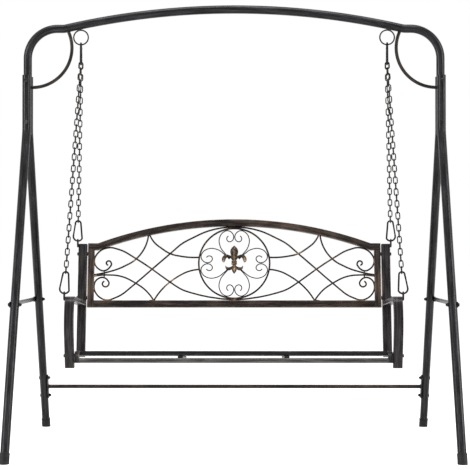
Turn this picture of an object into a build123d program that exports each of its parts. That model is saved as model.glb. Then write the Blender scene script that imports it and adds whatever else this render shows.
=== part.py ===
# Garden swing bench: an A-frame stand of round steel tube, four chains and a bench of bent steel bar.
# X runs to the right, Y to the rear and Z up. The origin is on the ground, under the middle of the stand.
# All lengths are in millimetres and all angles in degrees.

import math
import os

from build123d import *

os.makedirs("parts", exist_ok=True)

# Fits shared by all pieces
seat_gap = 0.3
bolt_clearance = 0.3
pin_clearance = 0.05
overrun = 5.0

# How coarsely round bars, wire and holes are drawn: sides of a section and the turn of one straight run
tube_sides = 20
wire_sides = 6
brace_sides = 8
cap_sides = 16
spreader_sides = 12
wire_turn = 45.0
scroll_turn = 42.0
ring_turn = 30.0
tube_turn = 18.0
arch_turn = 3.5
step_slack = 0.01

# Stand tubes
tube_diameter = 35.0
tube_wall = 1.6
stand_half_width = 864.0
corner_reach = 167.0
arch_apex_height = 1816.0
arch_rise = 78.0
arch_socket_depth = 45.0
kink_offset = 14.0
kink_radius = 60.0
corner_bend_radius = 125.0
corner_tube_bottom = 1290.0
leg_top_height = 1537.0
leg_bend_height = 1304.0
leg_bend_radius = 90.0
foot_half_depth = 605.0
open_end_depth = 40.0

# Foot caps
cap_wall = 2.0
cap_floor = 4.0
cap_height = 42.0

# Corner braces
brace_diameter = 14.0
brace_radius = 166.0
brace_center_inset = 19.0
brace_center_drop = 161.0
brace_start_angle = 150.0
brace_sweep_angle = 128.0

# Side spreaders and rear crossbar
spreader_height = 592.0
spreader_diameter = 18.0
spreader_tab_width = 24.0
spreader_tab_thickness = 4.0
spreader_taper_length = 26.0
crossbar_height = 191.0
crossbar_diameter = 17.0
strap_length = 118.0
strap_width = 28.0
strap_thickness = 4.0
strap_bolt_spacing = 90.0

# Bolts and cap nuts
bolt_diameter = 8.0
bolt_head_width = 13.0
bolt_head_height = 5.5
nut_height = 6.5
nut_dome_height = 4.0
bolt_end_margin = 1.5
nut_dome_taper = 42.0
upper_joint_height = 1514.0
lower_joint_height = 1340.0

# Hanging rings under the arch
ring_inset = 56.0
ring_wire = 6.0
ring_outer_diameter = 67.0
ring_weld_depth = 0.6
ring_fit = 0.35

# Snap hooks
hook_wire = 7.5
hook_length = 97.0
hook_wide_end = 47.0
hook_small_end = 31.0
hook_nose_length = 4.0
hook_tip_gap = 0.4
hinge_drop = 10.0
hinge_shoulder = 2.0
gate_width = 6.4
gate_slot_gap = 0.3
tongue_thickness = 3.0
hook_pin_diameter = 2.6
chain_spacing = 7.0
chain_top_gap = 2.4
chain_bottom_gap = 1.5

# Chains
link_wire = 4.6
link_width = 20.0
link_pitch = 25.0
link_gap = 0.3
link_flat_share = 0.88
link_end_share = 0.6

# Bench, in its own level frame: the origin is on the seat's top surface, in line with the seat's middle
bench_origin_y = -69.0
bench_origin_height = 389.5
bench_tilt = 4.3
bench_half_width = 636.0
side_tube_width = 38.0
side_tube_depth = 20.0
bench_wall = 1.5
post_bottom = -22.0
post_top = 464.0
post_bottom_y = 204.7
post_recline = 6.5
arm_top = 218.0
arm_front_y = -234.0
arm_bend_radius = 38.0
upright_bow_y = -252.0
upright_bow_height = 105.0
upright_bow_radius = 190.0
upright_foot_y = -198.0
upright_foot_height = -66.0

# Seat
seat_rail_width = 20.0
seat_thickness = 19.0
seat_rail_rear_y = 218.0
seat_front_y = -216.0
seat_front_drop = 48.0
seat_front_radius = 32.0
slat_count = 8
slat_width = 34.0
first_slat_y = -172.0
last_slat_y = 180.0
front_bar_diameter = 20.0
front_bar_height = -38.0
rib_offset = 213.0
rib_width = 20.0
rib_height = 12.0
rib_rear_y = 197.0

# Back panel, in its own plane: the origin is the middle of the medallion
medallion_height = 381.6
panel_bolt_reach = 12.0
upper_panel_bolt_drop = 42.0
lower_panel_bolt_rise = 13.0
panel_depth = 20.0
stile_width = 28.0
rail_height = 30.0
panel_half_opening = 163.0
top_rail_end_length = 46.0
top_rail_rise = 106.0
scroll_bar = 6.0
medallion_wire = 6.0
medallion_gap = 0.75
heart_wire = 4.0

# Fleur-de-lis casting
fleur_half_width = 55.0
fleur_top = 78.0
fleur_bottom = 47.0
fleur_thickness = 5.0
fleur_petal_thickness = 8.0
fleur_band_thickness = 10.0

# Hanger loops
loop_wire = 6.0
loop_height = 38.0
loop_width = 26.0
front_loop_y = -222.0
front_loop_stand_up = 20.0
rear_loop_setback = 9.0
rear_loop_stand_up = 24.0

# Scroll outlines, as shares of the panel opening's half width and half height
upper_scroll_shares = [
    (0.900, -0.055), (0.914, 0.006), (0.897, 0.060), (0.878, -0.010), (0.890, -0.119),
    (0.930, -0.210), (0.978, -0.130), (1.000, 0.060), (0.970, 0.300), (0.895, 0.425),
    (0.822, 0.370), (0.703, 0.125), (0.588, -0.162), (0.461, -0.511), (0.363, -0.739),
    (0.305, -0.812), (0.181, -0.925), (0.000, -1.000),
]
lower_scroll_shares = [
    (0.926, -0.490), (0.941, -0.562), (0.919, -0.642), (0.894, -0.560), (0.905, -0.455),
    (0.940, -0.386), (0.980, -0.445), (1.000, -0.620), (0.975, -0.870), (0.905, -1.000),
    (0.841, -0.930), (0.703, -0.546), (0.588, -0.162), (0.461, 0.258), (0.363, 0.572),
    (0.305, 0.690), (0.181, 0.900), (0.000, 1.000),
]
outer_upper_shares = [(1.010, -0.316), (0.914, -0.250), (0.803, -0.110), (0.703, 0.118), (0.650, 0.370), (0.615, 0.820)]
outer_lower_shares = [(1.010, -0.365), (0.914, -0.322), (0.799, -0.371), (0.703, -0.546), (0.629, -0.750), (0.570, -1.040)]
inner_upper_shares = [(0.612, 0.840), (0.574, 0.575), (0.521, 0.406), (0.461, 0.265), (0.370, 0.180), (0.245, 0.160)]
inner_lower_shares = [(0.575, -1.040), (0.521, -0.738), (0.461, -0.516), (0.393, -0.340), (0.334, -0.230), (0.245, -0.165)]

# Heart scroll outline, as shares of the medallion's inner radius
heart_shares = [
    (0.254, 0.274), (0.400, 0.480), (0.430, 0.720), (0.3305, 0.899), (0.1815, 0.955), (0.060, 0.888),
    (0.0165, 0.770), (0.055, 0.665), (0.145, 0.630), (0.215, 0.705), (0.165, 0.800),
]

# Fleur-de-lis outlines, as shares of its half width and of its reach above or below the middle
petal_shares = [(0.000, 1.000), (0.170, 0.860), (0.290, 0.740), (0.320, 0.620), (0.270, 0.400), (0.160, 0.150)]
side_petal_shares = [
    (0.150, 0.150), (0.400, 0.300), (0.620, 0.330), (0.780, 0.220), (0.870, 0.060),
    (1.000, 0.220), (0.970, 0.370), (0.820, 0.480), (0.600, 0.490), (0.200, 0.330),
]
tail_curl_shares = [(0.180, -0.280), (0.420, -0.360), (0.710, -0.250), (0.560, -0.520), (0.400, -0.640), (0.180, -0.600)]
tail_petal_shares = [(0.120, -0.180), (0.205, -0.450), (0.130, -0.760), (0.000, -1.000)]
band_half_width_share = 0.22
band_top_share = 0.16
band_bottom_share = 0.20

# Sizes that follow from the ones above
tube_radius = tube_diameter / 2
bolt_radius = bolt_diameter / 2
hole_radius = bolt_radius + bolt_clearance
arch_half_span = stand_half_width - corner_reach
ring_offset = arch_half_span - ring_inset
arch_radius = (arch_half_span**2 + arch_rise**2) / (2 * arch_rise)
arch_center_height = arch_apex_height - arch_radius
brace_center_height = arch_apex_height - brace_center_drop
arch_end_angle = math.degrees(math.asin(arch_half_span / arch_radius))
leg_offset = tube_diameter + seat_gap
wire_flat_share = math.cos(math.pi / wire_sides)
leg_slope = (foot_half_depth - leg_offset) / leg_bend_height
leg_angle = math.degrees(math.atan(leg_slope))
ring_radius = (ring_outer_diameter - ring_wire) / 2
ring_path_radius = arch_radius - tube_radius - ring_outer_diameter / 2 + ring_weld_depth
ring_height = arch_center_height + math.sqrt(ring_path_radius**2 - ring_offset**2)
pivot_height = ring_height - ring_radius
hook_span = hook_length - hook_wire
hook_wide_radius = (hook_wide_end - hook_wire) / 2
hook_small_radius = (hook_small_end - hook_wire) / 2
hook_seat = (hook_wire + loop_wire) / 2 * wire_flat_share + seat_gap
side_outer = bench_half_width + side_tube_width
seat_rail_outer = bench_half_width - seat_gap
panel_half_width = bench_half_width - seat_gap
slat_half_length = seat_rail_outer - seat_rail_width - seat_gap
scroll_half_width = panel_half_width - stile_width - scroll_bar / 2
scroll_half_height = panel_half_opening - scroll_bar / 2
medallion_radius = panel_half_opening - scroll_bar - medallion_wire / 2 - medallion_gap
medallion_inner_radius = medallion_radius - medallion_wire / 2
cap_radius = tube_radius + pin_clearance + cap_wall
bench_place = Location((0, bench_origin_y, bench_origin_height), (-bench_tilt, 0, 0))


def post_y(height):
    """Depth of the back post's centre line at a height of the bench's own frame."""
    return post_bottom_y + (height - post_bottom) * math.tan(math.radians(post_recline))


panel_plane = Plane(
    origin=(0, post_y(medallion_height), medallion_height),
    x_dir=(1, 0, 0),
    z_dir=(0, -math.cos(math.radians(post_recline)), math.sin(math.radians(post_recline))),
)


# General tools

def biarc_path(points):
    """A smooth path of tangent arcs through the given points of the XY plane."""
    spots = [Vector(*point) for point in points]
    headings = []
    for index, spot in enumerate(spots):
        before = spots[max(index - 1, 0)]
        after = spots[min(index + 1, len(spots) - 1)]
        if index in (0, len(spots) - 1):
            headings.append((after - before).normalized())
            continue
        come, go = spot - before, after - spot
        headings.append((come * (go.length / come.length) + go * (come.length / go.length)).normalized())
    headings[0] = (headings[0] * 2 * headings[0].dot(headings[1]) - headings[1]).normalized()
    headings[-1] = (headings[-1] * 2 * headings[-1].dot(headings[-2]) - headings[-2]).normalized()
    pieces = []
    for start, end, heading, last in zip(spots, spots[1:], headings, headings[1:]):
        reach = end - start
        both = heading + last
        spread = 2 * (1 - heading.dot(last))
        along = reach.dot(both)
        if spread > 1e-6:
            size = (math.sqrt(along**2 + spread * reach.dot(reach)) - along) / spread
        else:
            size = reach.dot(reach) / (2 * along)
        middle = (start + end + (heading - last) * size) * 0.5
        pieces += [tangent_piece(start, middle, heading), tangent_piece(end, middle, last * -1)]
    return Wire(pieces)


def tangent_piece(start, end, heading):
    """An arc that leaves start along heading and ends at end, or a line where the arc would be flat."""
    chord = end - start
    if abs(heading.cross(chord).Z) < chord.length * 1e-3:
        return Edge.make_line(start, end)
    return Edge.make_tangent_arc(start, heading, end)


def section_plane(path, x_dir):
    """The plane across the start of a path."""
    return Plane(origin=path @ 0, x_dir=x_dir, z_dir=path % 0)


def stepped(path, turn):
    """The path as straight runs that touch its arcs, none turning further from the last than the given angle."""
    wire = path if isinstance(path, Wire) else Wire(path.edges())
    spots = []
    share = 0
    for edge in wire.order_edges():
        edge_share = edge.length / wire.length
        if edge.geom_type == GeomType.CIRCLE:
            bend = edge.length / edge.radius
            steps = max(math.ceil(math.degrees(bend) / turn - step_slack), 1)
            reach = edge.radius * math.tan(bend / steps / 2)
            for step in range(steps):
                touch = share + edge_share * step / steps
                spots.append(wire @ touch + (wire % touch) * reach)
        share += edge_share
    if wire.is_closed:
        return Polyline(*spots, close=True)
    return Polyline(wire @ 0, *spots, wire @ 1)


def round_bar(path, diameter):
    """A round bar along a path."""
    section = Plane(origin=path @ 0, z_dir=path % 0) * RegularPolygon(diameter / 2, tube_sides)
    return sweep(section, path=path, transition=Transition.RIGHT)


def wire_bar(path, diameter, sides, turn):
    """Thin round wire along a path, with few sides and straight steps."""
    steps = stepped(path, turn)
    section = Plane(origin=steps @ 0, z_dir=steps % 0) * RegularPolygon(diameter / 2, sides)
    return sweep(section, path=steps, transition=Transition.RIGHT)


def flat_bar(path, width, depth, x_dir, wall=0):
    """A bar of rectangular section, or a tube where it has a wall; width lies along x_dir."""
    plane = section_plane(path, x_dir)
    section = plane * Rectangle(width, depth)
    if wall:
        section -= plane * Rectangle(width - 2 * wall, depth - 2 * wall)
    return sweep(section, path=path, transition=Transition.RIGHT)


def both_sides(part):
    """The part and its mirror image on the other side of the middle."""
    return [part, mirror(part, about=Plane.YZ)]


def along(start, end, diameter):
    """A cylinder from one point to another."""
    path = Line(start, end)
    return round_bar(path, diameter)


def drilled(start, end, radius, sides=wire_sides):
    """A hole from one point to another, drawn with few sides around its circle."""
    path = Line(start, end)
    section = RegularPolygon(radius, sides, major_radius=False)
    return sweep(Plane(origin=path @ 0, z_dir=path % 0) * section, path=path)


def write(name, *solids):
    """Write the solids of one node."""
    flat = []
    for part in solids:
        flat += list(part.solids())
    export_step(flat[0] if len(flat) == 1 else Compound(children=flat), f"parts/{name}.step")


def hex_bolt(length):
    """A bolt along +Z with its head below the XY plane."""
    hexagon = RegularPolygon(bolt_head_width / 2, 6, major_radius=False)
    return extrude(hexagon, -bolt_head_height) + extrude(RegularPolygon(bolt_radius, wire_sides), length)


def cap_nut():
    """A cap nut with its flat face on the XY plane and a blind hole for the bolt."""
    hexagon = RegularPolygon(bolt_head_width / 2, 6, major_radius=False)
    nut = extrude(hexagon, nut_height)
    nut += extrude(Pos(0, 0, nut_height) * hexagon, nut_dome_height, taper=nut_dome_taper)
    return nut - extrude(RegularPolygon(bolt_radius + pin_clearance, wire_sides, major_radius=False), nut_height)


def bolted(place, grip):
    """A bolt and its nut at a place; the bolt points along the place's +Z."""
    return place * hex_bolt(grip + nut_height - bolt_end_margin), place * Pos(0, 0, grip) * cap_nut()


# Stand

def arch_tube():
    """The long top tube, a shallow arch whose open ends take the corner tubes."""
    end = Vector(arch_half_span, 0, arch_apex_height - arch_rise)
    path = ThreePointArc((-end.X, 0, end.Z), (0, 0, arch_apex_height), (end.X, 0, end.Z))
    tube = round_bar(stepped(path, arch_turn), tube_diameter)
    socket = drilled(end, end - arch_heading() * arch_socket_depth, tube_radius - tube_wall, tube_sides)
    for part in both_sides(socket):
        tube -= part
    return tube


def arch_heading():
    """The direction in which the arch leaves its right-hand end."""
    angle = math.radians(arch_end_angle)
    return Vector(math.cos(angle), 0, -math.sin(angle))


def corner_tube():
    """The right-hand corner: a spigot in the arch, a short level run, the bend and the straight drop."""
    end = Vector(arch_half_span, 0, arch_apex_height - arch_rise)
    kink = end + arch_heading() * kink_offset
    path = FilletPolyline(
        end, kink, (stand_half_width, 0, kink.Z), (stand_half_width, 0, corner_tube_bottom),
        radius=[kink_radius, corner_bend_radius],
    )
    tube = round_bar(stepped(path, tube_turn), tube_diameter)
    spigot_diameter = tube_diameter - 2 * tube_wall - 2 * pin_clearance
    tube += along(end - arch_heading() * (arch_socket_depth - seat_gap), end + arch_heading() * seat_gap, spigot_diameter)
    mouth = Vector(stand_half_width, 0, corner_tube_bottom)
    tube -= drilled(mouth, mouth + Vector(0, 0, open_end_depth), tube_radius - tube_wall, tube_sides)
    for height in (upper_joint_height, lower_joint_height):
        tube -= joint_hole(height)
    return tube


def joint_hole(height):
    """The cross hole of a leg joint's bolt on the right-hand side."""
    reach = leg_offset + tube_radius + overrun
    return drilled((stand_half_width, -reach, height), (stand_half_width, reach, height), hole_radius)


def leg(side):
    """A right-hand leg; side is -1 at the front and 1 at the rear."""
    top = (stand_half_width, side * leg_offset, leg_top_height)
    bend = (stand_half_width, side * leg_offset, leg_bend_height)
    below = (stand_half_width, side * (foot_half_depth + overrun * leg_slope), -overrun)
    path = FilletPolyline(top, bend, below, radius=leg_bend_radius)
    tube = round_bar(stepped(path, tube_turn), tube_diameter)
    tube = split(tube, bisect_by=Plane.XY.offset(cap_floor), keep=Keep.TOP)
    tube -= drilled(Vector(*top) - Vector(0, 0, open_end_depth), Vector(*top), tube_radius - tube_wall, tube_sides)
    for height in (upper_joint_height, lower_joint_height):
        tube -= joint_hole(height)
    tube -= side_hole(side, spreader_height)
    if side > 0:
        for place in strap_bolt_points():
            tube -= cross_hole(place)
    return tube


def leg_y(height):
    """How far the slanted part of a leg's centre line is from the middle at a height."""
    return foot_half_depth - height * leg_slope


def cross_hole(point):
    """A hole along X through the right-hand leg at a point of its plane."""
    reach = tube_radius + overrun
    y, z = point
    return drilled((stand_half_width - reach, y, z), (stand_half_width + reach, y, z), hole_radius)


def side_hole(side, height):
    """The hole of a spreader's bolt."""
    return cross_hole((side * leg_y(height), height))


def foot_cap(side):
    """The plastic cap on a right-hand leg's foot, level underneath."""
    foot = Vector(stand_half_width, side * foot_half_depth, 0)
    up = Vector(0, -side * leg_slope, 1).normalized()
    high = foot + up * cap_height
    low = foot - up * cap_height
    axis = Line(low, high + up * overrun)
    across = section_plane(axis, (1, 0, 0))
    cap = extrude(across * RegularPolygon(cap_radius, tube_sides, major_radius=False), 2 * cap_height)
    cap = split(cap, bisect_by=Plane.XY, keep=Keep.TOP)
    bore = drilled(low, high + up * overrun, tube_radius + pin_clearance, tube_sides)
    return cap - split(bore, bisect_by=Plane.XY.offset(cap_floor), keep=Keep.TOP)


def corner_brace(tubes):
    """The curved rod inside the right-hand corner, its ends coped to the tubes that it is welded to."""
    center = Plane(
        origin=(stand_half_width - brace_center_inset, 0, brace_center_height), x_dir=(1, 0, 0), z_dir=(0, -1, 0)
    )
    path = center * CenterArc((0, 0), brace_radius, brace_start_angle, brace_sweep_angle)
    rod = wire_bar(path, brace_diameter, brace_sides, tube_turn)
    for tube in tubes:
        rod -= tube
    return max(rod.solids(), key=lambda solid: solid.volume)


def spreader():
    """The right-hand tie tube between the front and rear legs, flattened at both ends."""
    x = stand_half_width + tube_radius + spreader_tab_thickness / 2
    reach = leg_y(spreader_height)
    taper_end = reach - spreader_tab_width / 2 - spreader_taper_length
    middle = Plane(origin=(x, 0, spreader_height), x_dir=(1, 0, 0), z_dir=(0, 1, 0))
    tube = extrude(middle * RegularPolygon(spreader_diameter / 2, spreader_sides), taper_end, both=True)
    for side in (-1, 1):
        tab_start = side * (taper_end + spreader_taper_length)
        wide = Plane(origin=(x, side * taper_end, spreader_height), x_dir=(1, 0, 0), z_dir=(0, side, 0))
        flat = Plane(origin=(x, tab_start, spreader_height), x_dir=(1, 0, 0), z_dir=(0, side, 0))
        round_end = RegularPolygon(spreader_diameter / 2, spreader_sides)
        squashed = scale(round_end, by=(spreader_tab_thickness / spreader_diameter, spreader_tab_width / spreader_diameter, 1))
        tube += loft([wide * round_end, flat * squashed], ruled=True)
        tab = Plane(
            origin=(x - spreader_tab_thickness / 2, side * reach, spreader_height), x_dir=(0, side, 0), z_dir=(1, 0, 0)
        )
        outline = RegularPolygon(spreader_tab_width / 2, cap_sides) + Pos(-spreader_tab_width / 4, 0) * Rectangle(
            spreader_tab_width / 2, spreader_tab_width
        )
        tube += extrude(tab * outline, spreader_tab_thickness)
        tube -= side_hole(side, spreader_height)
    return tube


def strap_bolt_points():
    """The two bolts of a crossbar strap, as points of the rear leg's plane."""
    middle = Vector(leg_y(crossbar_height), crossbar_height)
    up = Vector(-leg_slope, 1).normalized()
    spots = [middle + up * (share * strap_bolt_spacing) for share in (-0.5, 0.5)]
    return [(spot.X, spot.Y) for spot in spots]


def crossbar_strap():
    """The plate on the inner side of the right-hand rear leg that carries the crossbar."""
    plate = Plane(
        origin=(stand_half_width - tube_radius, leg_y(crossbar_height), crossbar_height),
        x_dir=(0, -math.sin(math.radians(leg_angle)), math.cos(math.radians(leg_angle))),
        z_dir=(-1, 0, 0),
    )
    outline = Rectangle(strap_length - strap_width, strap_width)
    for side in (-1, 1):
        outline += Pos(side * (strap_length - strap_width) / 2, 0) * RegularPolygon(strap_width / 2, cap_sides)
    strap = extrude(plate * outline, strap_thickness)
    for point in strap_bolt_points():
        strap -= cross_hole(point)
    return strap


def crossbar():
    """The rear crossbar between the two straps."""
    half = stand_half_width - tube_radius - strap_thickness
    y = leg_y(crossbar_height)
    return along((-half, y, crossbar_height), (half, y, crossbar_height), crossbar_diameter)


def hanging_ring(arch):
    """The right-hand ring welded under the arch."""
    circle = Pos(ring_offset, 0, ring_height) * Rot(90, 0, 0) * CenterArc((0, 0), ring_radius, 0, 360)
    return wire_bar(circle, ring_wire, wire_sides, ring_turn) - arch


def stand_fasteners():
    """Bolts and nuts of the right-hand side, by the joint that they hold."""
    joints, spreaders, straps = [], [], []
    for height in (upper_joint_height, lower_joint_height):
        y = leg_offset + tube_radius
        place = Location(Plane(origin=(stand_half_width, -y, height), z_dir=(0, 1, 0)))
        joints.append(bolted(place, 2 * y))
    outside = stand_half_width + tube_radius + spreader_tab_thickness
    for side in (-1, 1):
        spot = (outside, side * leg_y(spreader_height), spreader_height)
        spreaders.append(bolted(Location(Plane(origin=spot, z_dir=(-1, 0, 0))), tube_diameter + spreader_tab_thickness))
    for y, z in strap_bolt_points():
        place = Location(Plane(origin=(stand_half_width + tube_radius, y, z), z_dir=(-1, 0, 0)))
        straps.append(bolted(place, tube_diameter + strap_thickness))
    return joints, spreaders, straps


# Snap hooks

def hook_points():
    """Tangent points of the hook's gate side and the unit vector down that side, in the hook's plane."""
    wide_center = Vector(0, hook_wide_radius)
    small_center = Vector(0, hook_span - hook_small_radius)
    angle = math.asin((hook_wide_radius - hook_small_radius) / (small_center - wide_center).length)
    out = Vector(math.cos(angle), math.sin(angle))
    low = wide_center + out * hook_wide_radius
    high = small_center + out * hook_small_radius
    return low, high, (low - high).normalized()


def hook_hinge():
    """The gate's hinge point in the hook's plane."""
    low, high, down = hook_points()
    return high + down * hinge_drop


def flip(point):
    """The point on the spine side that faces a point on the gate side."""
    return Vector(-point.X, point.Y)


def hook_body():
    """The bent wire of a snap hook, in the XY plane, its wide end at the origin and its gate on +X."""
    low, high, down = hook_points()
    nose = low - down * hook_nose_length
    path = Wire([
        Edge.make_line(nose, low),
        Edge.make_three_point_arc(low, Vector(0, 0), flip(low)),
        Edge.make_line(flip(low), flip(high)),
        Edge.make_three_point_arc(flip(high), Vector(0, hook_span), high),
        Edge.make_line(high, high + down * hinge_shoulder),
    ])
    body = wire_bar(path, hook_wire, wire_sides, wire_turn)
    hinge = hook_hinge()
    tongue_radius = (gate_width - seat_gap) / 2
    center = (high + hinge) * 0.5
    turn = math.degrees(math.atan2(down.Y, down.X))
    outline = Pos(center.X, center.Y) * Rot(0, 0, turn) * Rectangle((hinge - high).length, 2 * tongue_radius)
    outline += Pos(hinge.X, hinge.Y) * Rot(0, 0, turn) * RegularPolygon(tongue_radius, brace_sides)
    body += extrude(outline, tongue_thickness / 2, both=True)
    return body - pin_hole()


def hook_pin():
    """The gate's hinge pin."""
    hinge = hook_hinge()
    return extrude(Pos(hinge.X, hinge.Y) * RegularPolygon(hook_pin_diameter / 2, wire_sides), hook_wire / 2, both=True)


def pin_hole():
    """The hole of the hinge pin through gate and tongue."""
    hinge = hook_hinge()
    section = RegularPolygon(hook_pin_diameter / 2 + pin_clearance, wire_sides, major_radius=False)
    return extrude(Pos(hinge.X, hinge.Y) * section, hook_wire, both=True)


def hook_gate():
    """The gate of a snap hook, forked at its hinge."""
    low, high, down = hook_points()
    hinge = hook_hinge()
    tip = low - down * (hook_nose_length + hook_tip_gap)
    center = (hinge + tip) * 0.5
    turn = math.degrees(math.atan2(down.Y, down.X))
    outline = Pos(center.X, center.Y) * Rot(0, 0, turn) * Rectangle((tip - hinge).length, gate_width)
    outline += Pos(hinge.X, hinge.Y) * Rot(0, 0, turn) * RegularPolygon(gate_width / 2, brace_sides)
    gate = extrude(outline, hook_wire / 2, both=True)
    slot = Pos(hinge.X, hinge.Y) * Rot(0, 0, turn) * Box(
        2 * gate_width, 2 * gate_width, tongue_thickness + 2 * gate_slot_gap, align=(Align.MAX, Align.CENTER, Align.CENTER)
    )
    relief = Pos(hinge.X, hinge.Y) * RegularPolygon(gate_width / 2 + gate_slot_gap, brace_sides, major_radius=False)
    slot += extrude(relief, tongue_thickness / 2 + gate_slot_gap, both=True)
    return gate - slot - pin_hole()


# Chains

def chain_link(inner_length):
    """One link in the XY plane, long along Y, its round ends and round wire drawn with few faces."""
    side = link_wire * link_flat_share
    half_width = (link_width - side) / 2
    half_length = (inner_length + side) / 2
    end = half_width * link_end_share
    path = Polyline(
        (half_width, 0), (end, half_length), (-end, half_length),
        (-half_width, 0), (-end, -half_length), (end, -half_length), close=True,
    )
    return flat_bar(path, side, side, (0, 0, 1))


def chain(top, bottom):
    """The links between two wires whose centres are at top and bottom, each turned a quarter from the last."""
    reach = (bottom - top).length + hook_wire - link_gap + chain_top_gap + chain_bottom_gap
    count = 2 * round(reach / link_pitch / 2)
    pitch = reach / count
    down = (bottom - top).normalized()
    across = (Vector(1, 0, 0) - down * down.X).normalized()
    link = chain_link(pitch + link_gap)
    first = (pitch + link_gap - hook_wire) / 2 - chain_top_gap
    links = []
    for index in range(count):
        x_dir = across if index % 2 == 0 else down.cross(across)
        place = Plane(origin=top + down * (first + index * pitch), x_dir=x_dir, z_dir=x_dir.cross(down * -1))
        links.append(place.location * link)
    return links


# Bench

def back_post(wall=bench_wall):
    """The right-hand back post."""
    middle = bench_half_width + side_tube_width / 2
    path = Line((middle, post_y(post_bottom), post_bottom), (middle, post_y(post_top), post_top))
    post = flat_bar(path, side_tube_width, side_tube_depth, (1, 0, 0), wall)
    if wall:
        for y, z in (rear_rail_bolt(),) + panel_bolts():
            post -= bench_hole(y, z)
    return post


def armrest():
    """The right-hand armrest and front upright, bent from one tube and coped to the post."""
    x = bench_half_width + side_tube_width / 2
    top = arm_top - side_tube_depth / 2
    path = FilletPolyline(
        (x, post_y(top), top), (x, arm_front_y, top), (x, upright_bow_y, upright_bow_height),
        (x, upright_foot_y, upright_foot_height), radius=[arm_bend_radius, upright_bow_radius],
    )
    tube = flat_bar(stepped(path, tube_turn), side_tube_width, side_tube_depth, (1, 0, 0), bench_wall)
    tube -= back_post(wall=0)
    tube = max(tube.solids(), key=lambda solid: solid.volume)
    return tube - bench_hole(*front_rail_bolt())


def rear_rail_bolt():
    """Where the seat rail is bolted to the post, in the side frame's plane."""
    height = -seat_thickness / 2
    return post_y(height), height


def front_rail_bolt():
    """Where the seat rail is bolted to the front upright, in the side frame's plane."""
    return upright_foot_y - seat_rail_width / 3, -seat_thickness


def panel_bolts():
    """Where the back panel is bolted to the post, in the side frame's plane."""
    top = post_top - upper_panel_bolt_drop
    bottom = medallion_height - panel_half_opening + lower_panel_bolt_rise
    return (post_y(top), top), (post_y(bottom), bottom)


def bench_hole(y, z):
    """A hole along X through the right-hand side frame and the near wall of what is bolted to it."""
    outer = side_outer + overrun
    return drilled((panel_half_width - panel_bolt_reach - seat_gap, y, z), (outer, y, z), hole_radius)


def seat_rail():
    """The right-hand seat rail, level along the slats' ends and turned down at the front."""
    x = seat_rail_outer - seat_rail_width / 2
    level = -seat_thickness / 2
    path = FilletPolyline(
        (x, seat_rail_rear_y, level), (x, seat_front_y, level), (x, seat_front_y, -seat_front_drop),
        radius=seat_front_radius,
    )
    rail = flat_bar(stepped(path, tube_turn), seat_rail_width, seat_thickness, (1, 0, 0), bench_wall)
    return rail - bench_hole(*rear_rail_bolt()) - bench_hole(*front_rail_bolt())


def slats():
    """The seat slats between the two rails, evenly spaced."""
    pitch = (last_slat_y - first_slat_y) / (slat_count - 1)
    parts = []
    for index in range(slat_count):
        spot = (-slat_half_length, first_slat_y + index * pitch, -seat_thickness / 2)
        plane = Plane(origin=spot, x_dir=(0, 1, 0), z_dir=(1, 0, 0))
        section = plane * Rectangle(slat_width, seat_thickness)
        section -= plane * Rectangle(slat_width - 2 * bench_wall, seat_thickness - 2 * bench_wall)
        parts.append(extrude(section, 2 * slat_half_length))
    return parts


def front_bar(wall=bench_wall):
    """The round bar low at the seat's front edge."""
    bar = along(
        (-slat_half_length, seat_front_y, front_bar_height), (slat_half_length, seat_front_y, front_bar_height),
        front_bar_diameter,
    )
    if wall:
        bar -= drilled(
            (-slat_half_length, seat_front_y, front_bar_height), (slat_half_length, seat_front_y, front_bar_height),
            front_bar_diameter / 2 - wall, spreader_sides,
        )
    return bar


def seat_rib():
    """The right-hand rib under the slats, coped to the front bar."""
    level = -seat_thickness - seat_gap - rib_height / 2
    path = Line((rib_offset, rib_rear_y, level), (rib_offset, seat_front_y, level))
    rib = flat_bar(path, rib_width, rib_height, (1, 0, 0), bench_wall) - front_bar(wall=0)
    return max(rib.solids(), key=lambda solid: solid.volume)


def top_rail_face(inset=0):
    """The outline of the back panel's top rail, drawn in by an inset all round."""
    end = panel_half_width - inset
    knee = panel_half_width - top_rail_end_length
    high = panel_half_opening + rail_height - inset
    low = panel_half_opening + inset
    outline = [
        Polyline((-knee, low - top_rail_rise), (-end, low - top_rail_rise), (-end, high - top_rail_rise), (-knee, high - top_rail_rise)),
        ThreePointArc((-knee, high - top_rail_rise), (0, high), (knee, high - top_rail_rise)),
        Polyline((knee, high - top_rail_rise), (end, high - top_rail_rise), (end, low - top_rail_rise), (knee, low - top_rail_rise)),
        ThreePointArc((knee, low - top_rail_rise), (0, low), (-knee, low - top_rail_rise)),
    ]
    return make_face(Wire([edge for part in outline for edge in part.edges()]))


def on_panel(part):
    """Place something drawn in the panel's own frame."""
    return panel_plane.location * part


def top_rail(wall=bench_wall):
    """The arched top rail with level ends, in the panel's frame."""
    rail = extrude(top_rail_face(), panel_depth / 2, both=True)
    if wall:
        rail -= extrude(top_rail_face(wall), panel_depth / 2 - wall, both=True)
    return rail


def bottom_rail(wall=bench_wall):
    """The straight bottom rail, in the panel's frame."""
    half = panel_half_width - stile_width
    path = Line((-half, -panel_half_opening - rail_height / 2, 0), (half, -panel_half_opening - rail_height / 2, 0))
    return flat_bar(path, panel_depth, rail_height, (0, 0, 1), wall)


def stile(wall=bench_wall):
    """The right-hand stile, from the bottom rail's lower edge to the top rail's end."""
    x = panel_half_width - stile_width / 2
    low = -panel_half_opening - rail_height
    high = panel_half_opening - top_rail_rise
    post = flat_bar(Line((x, low, 0), (x, high, 0)), stile_width, panel_depth, (1, 0, 0), wall)
    if wall:
        post -= panel_bolt_holes()
    return post


def panel_bolt_holes():
    """The holes of the bolts that hold the panel, in the panel's frame."""
    holes = [bench_hole(y, z) for y, z in panel_bolts()]
    return [panel_plane.location.inverse() * hole for hole in holes]


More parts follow.
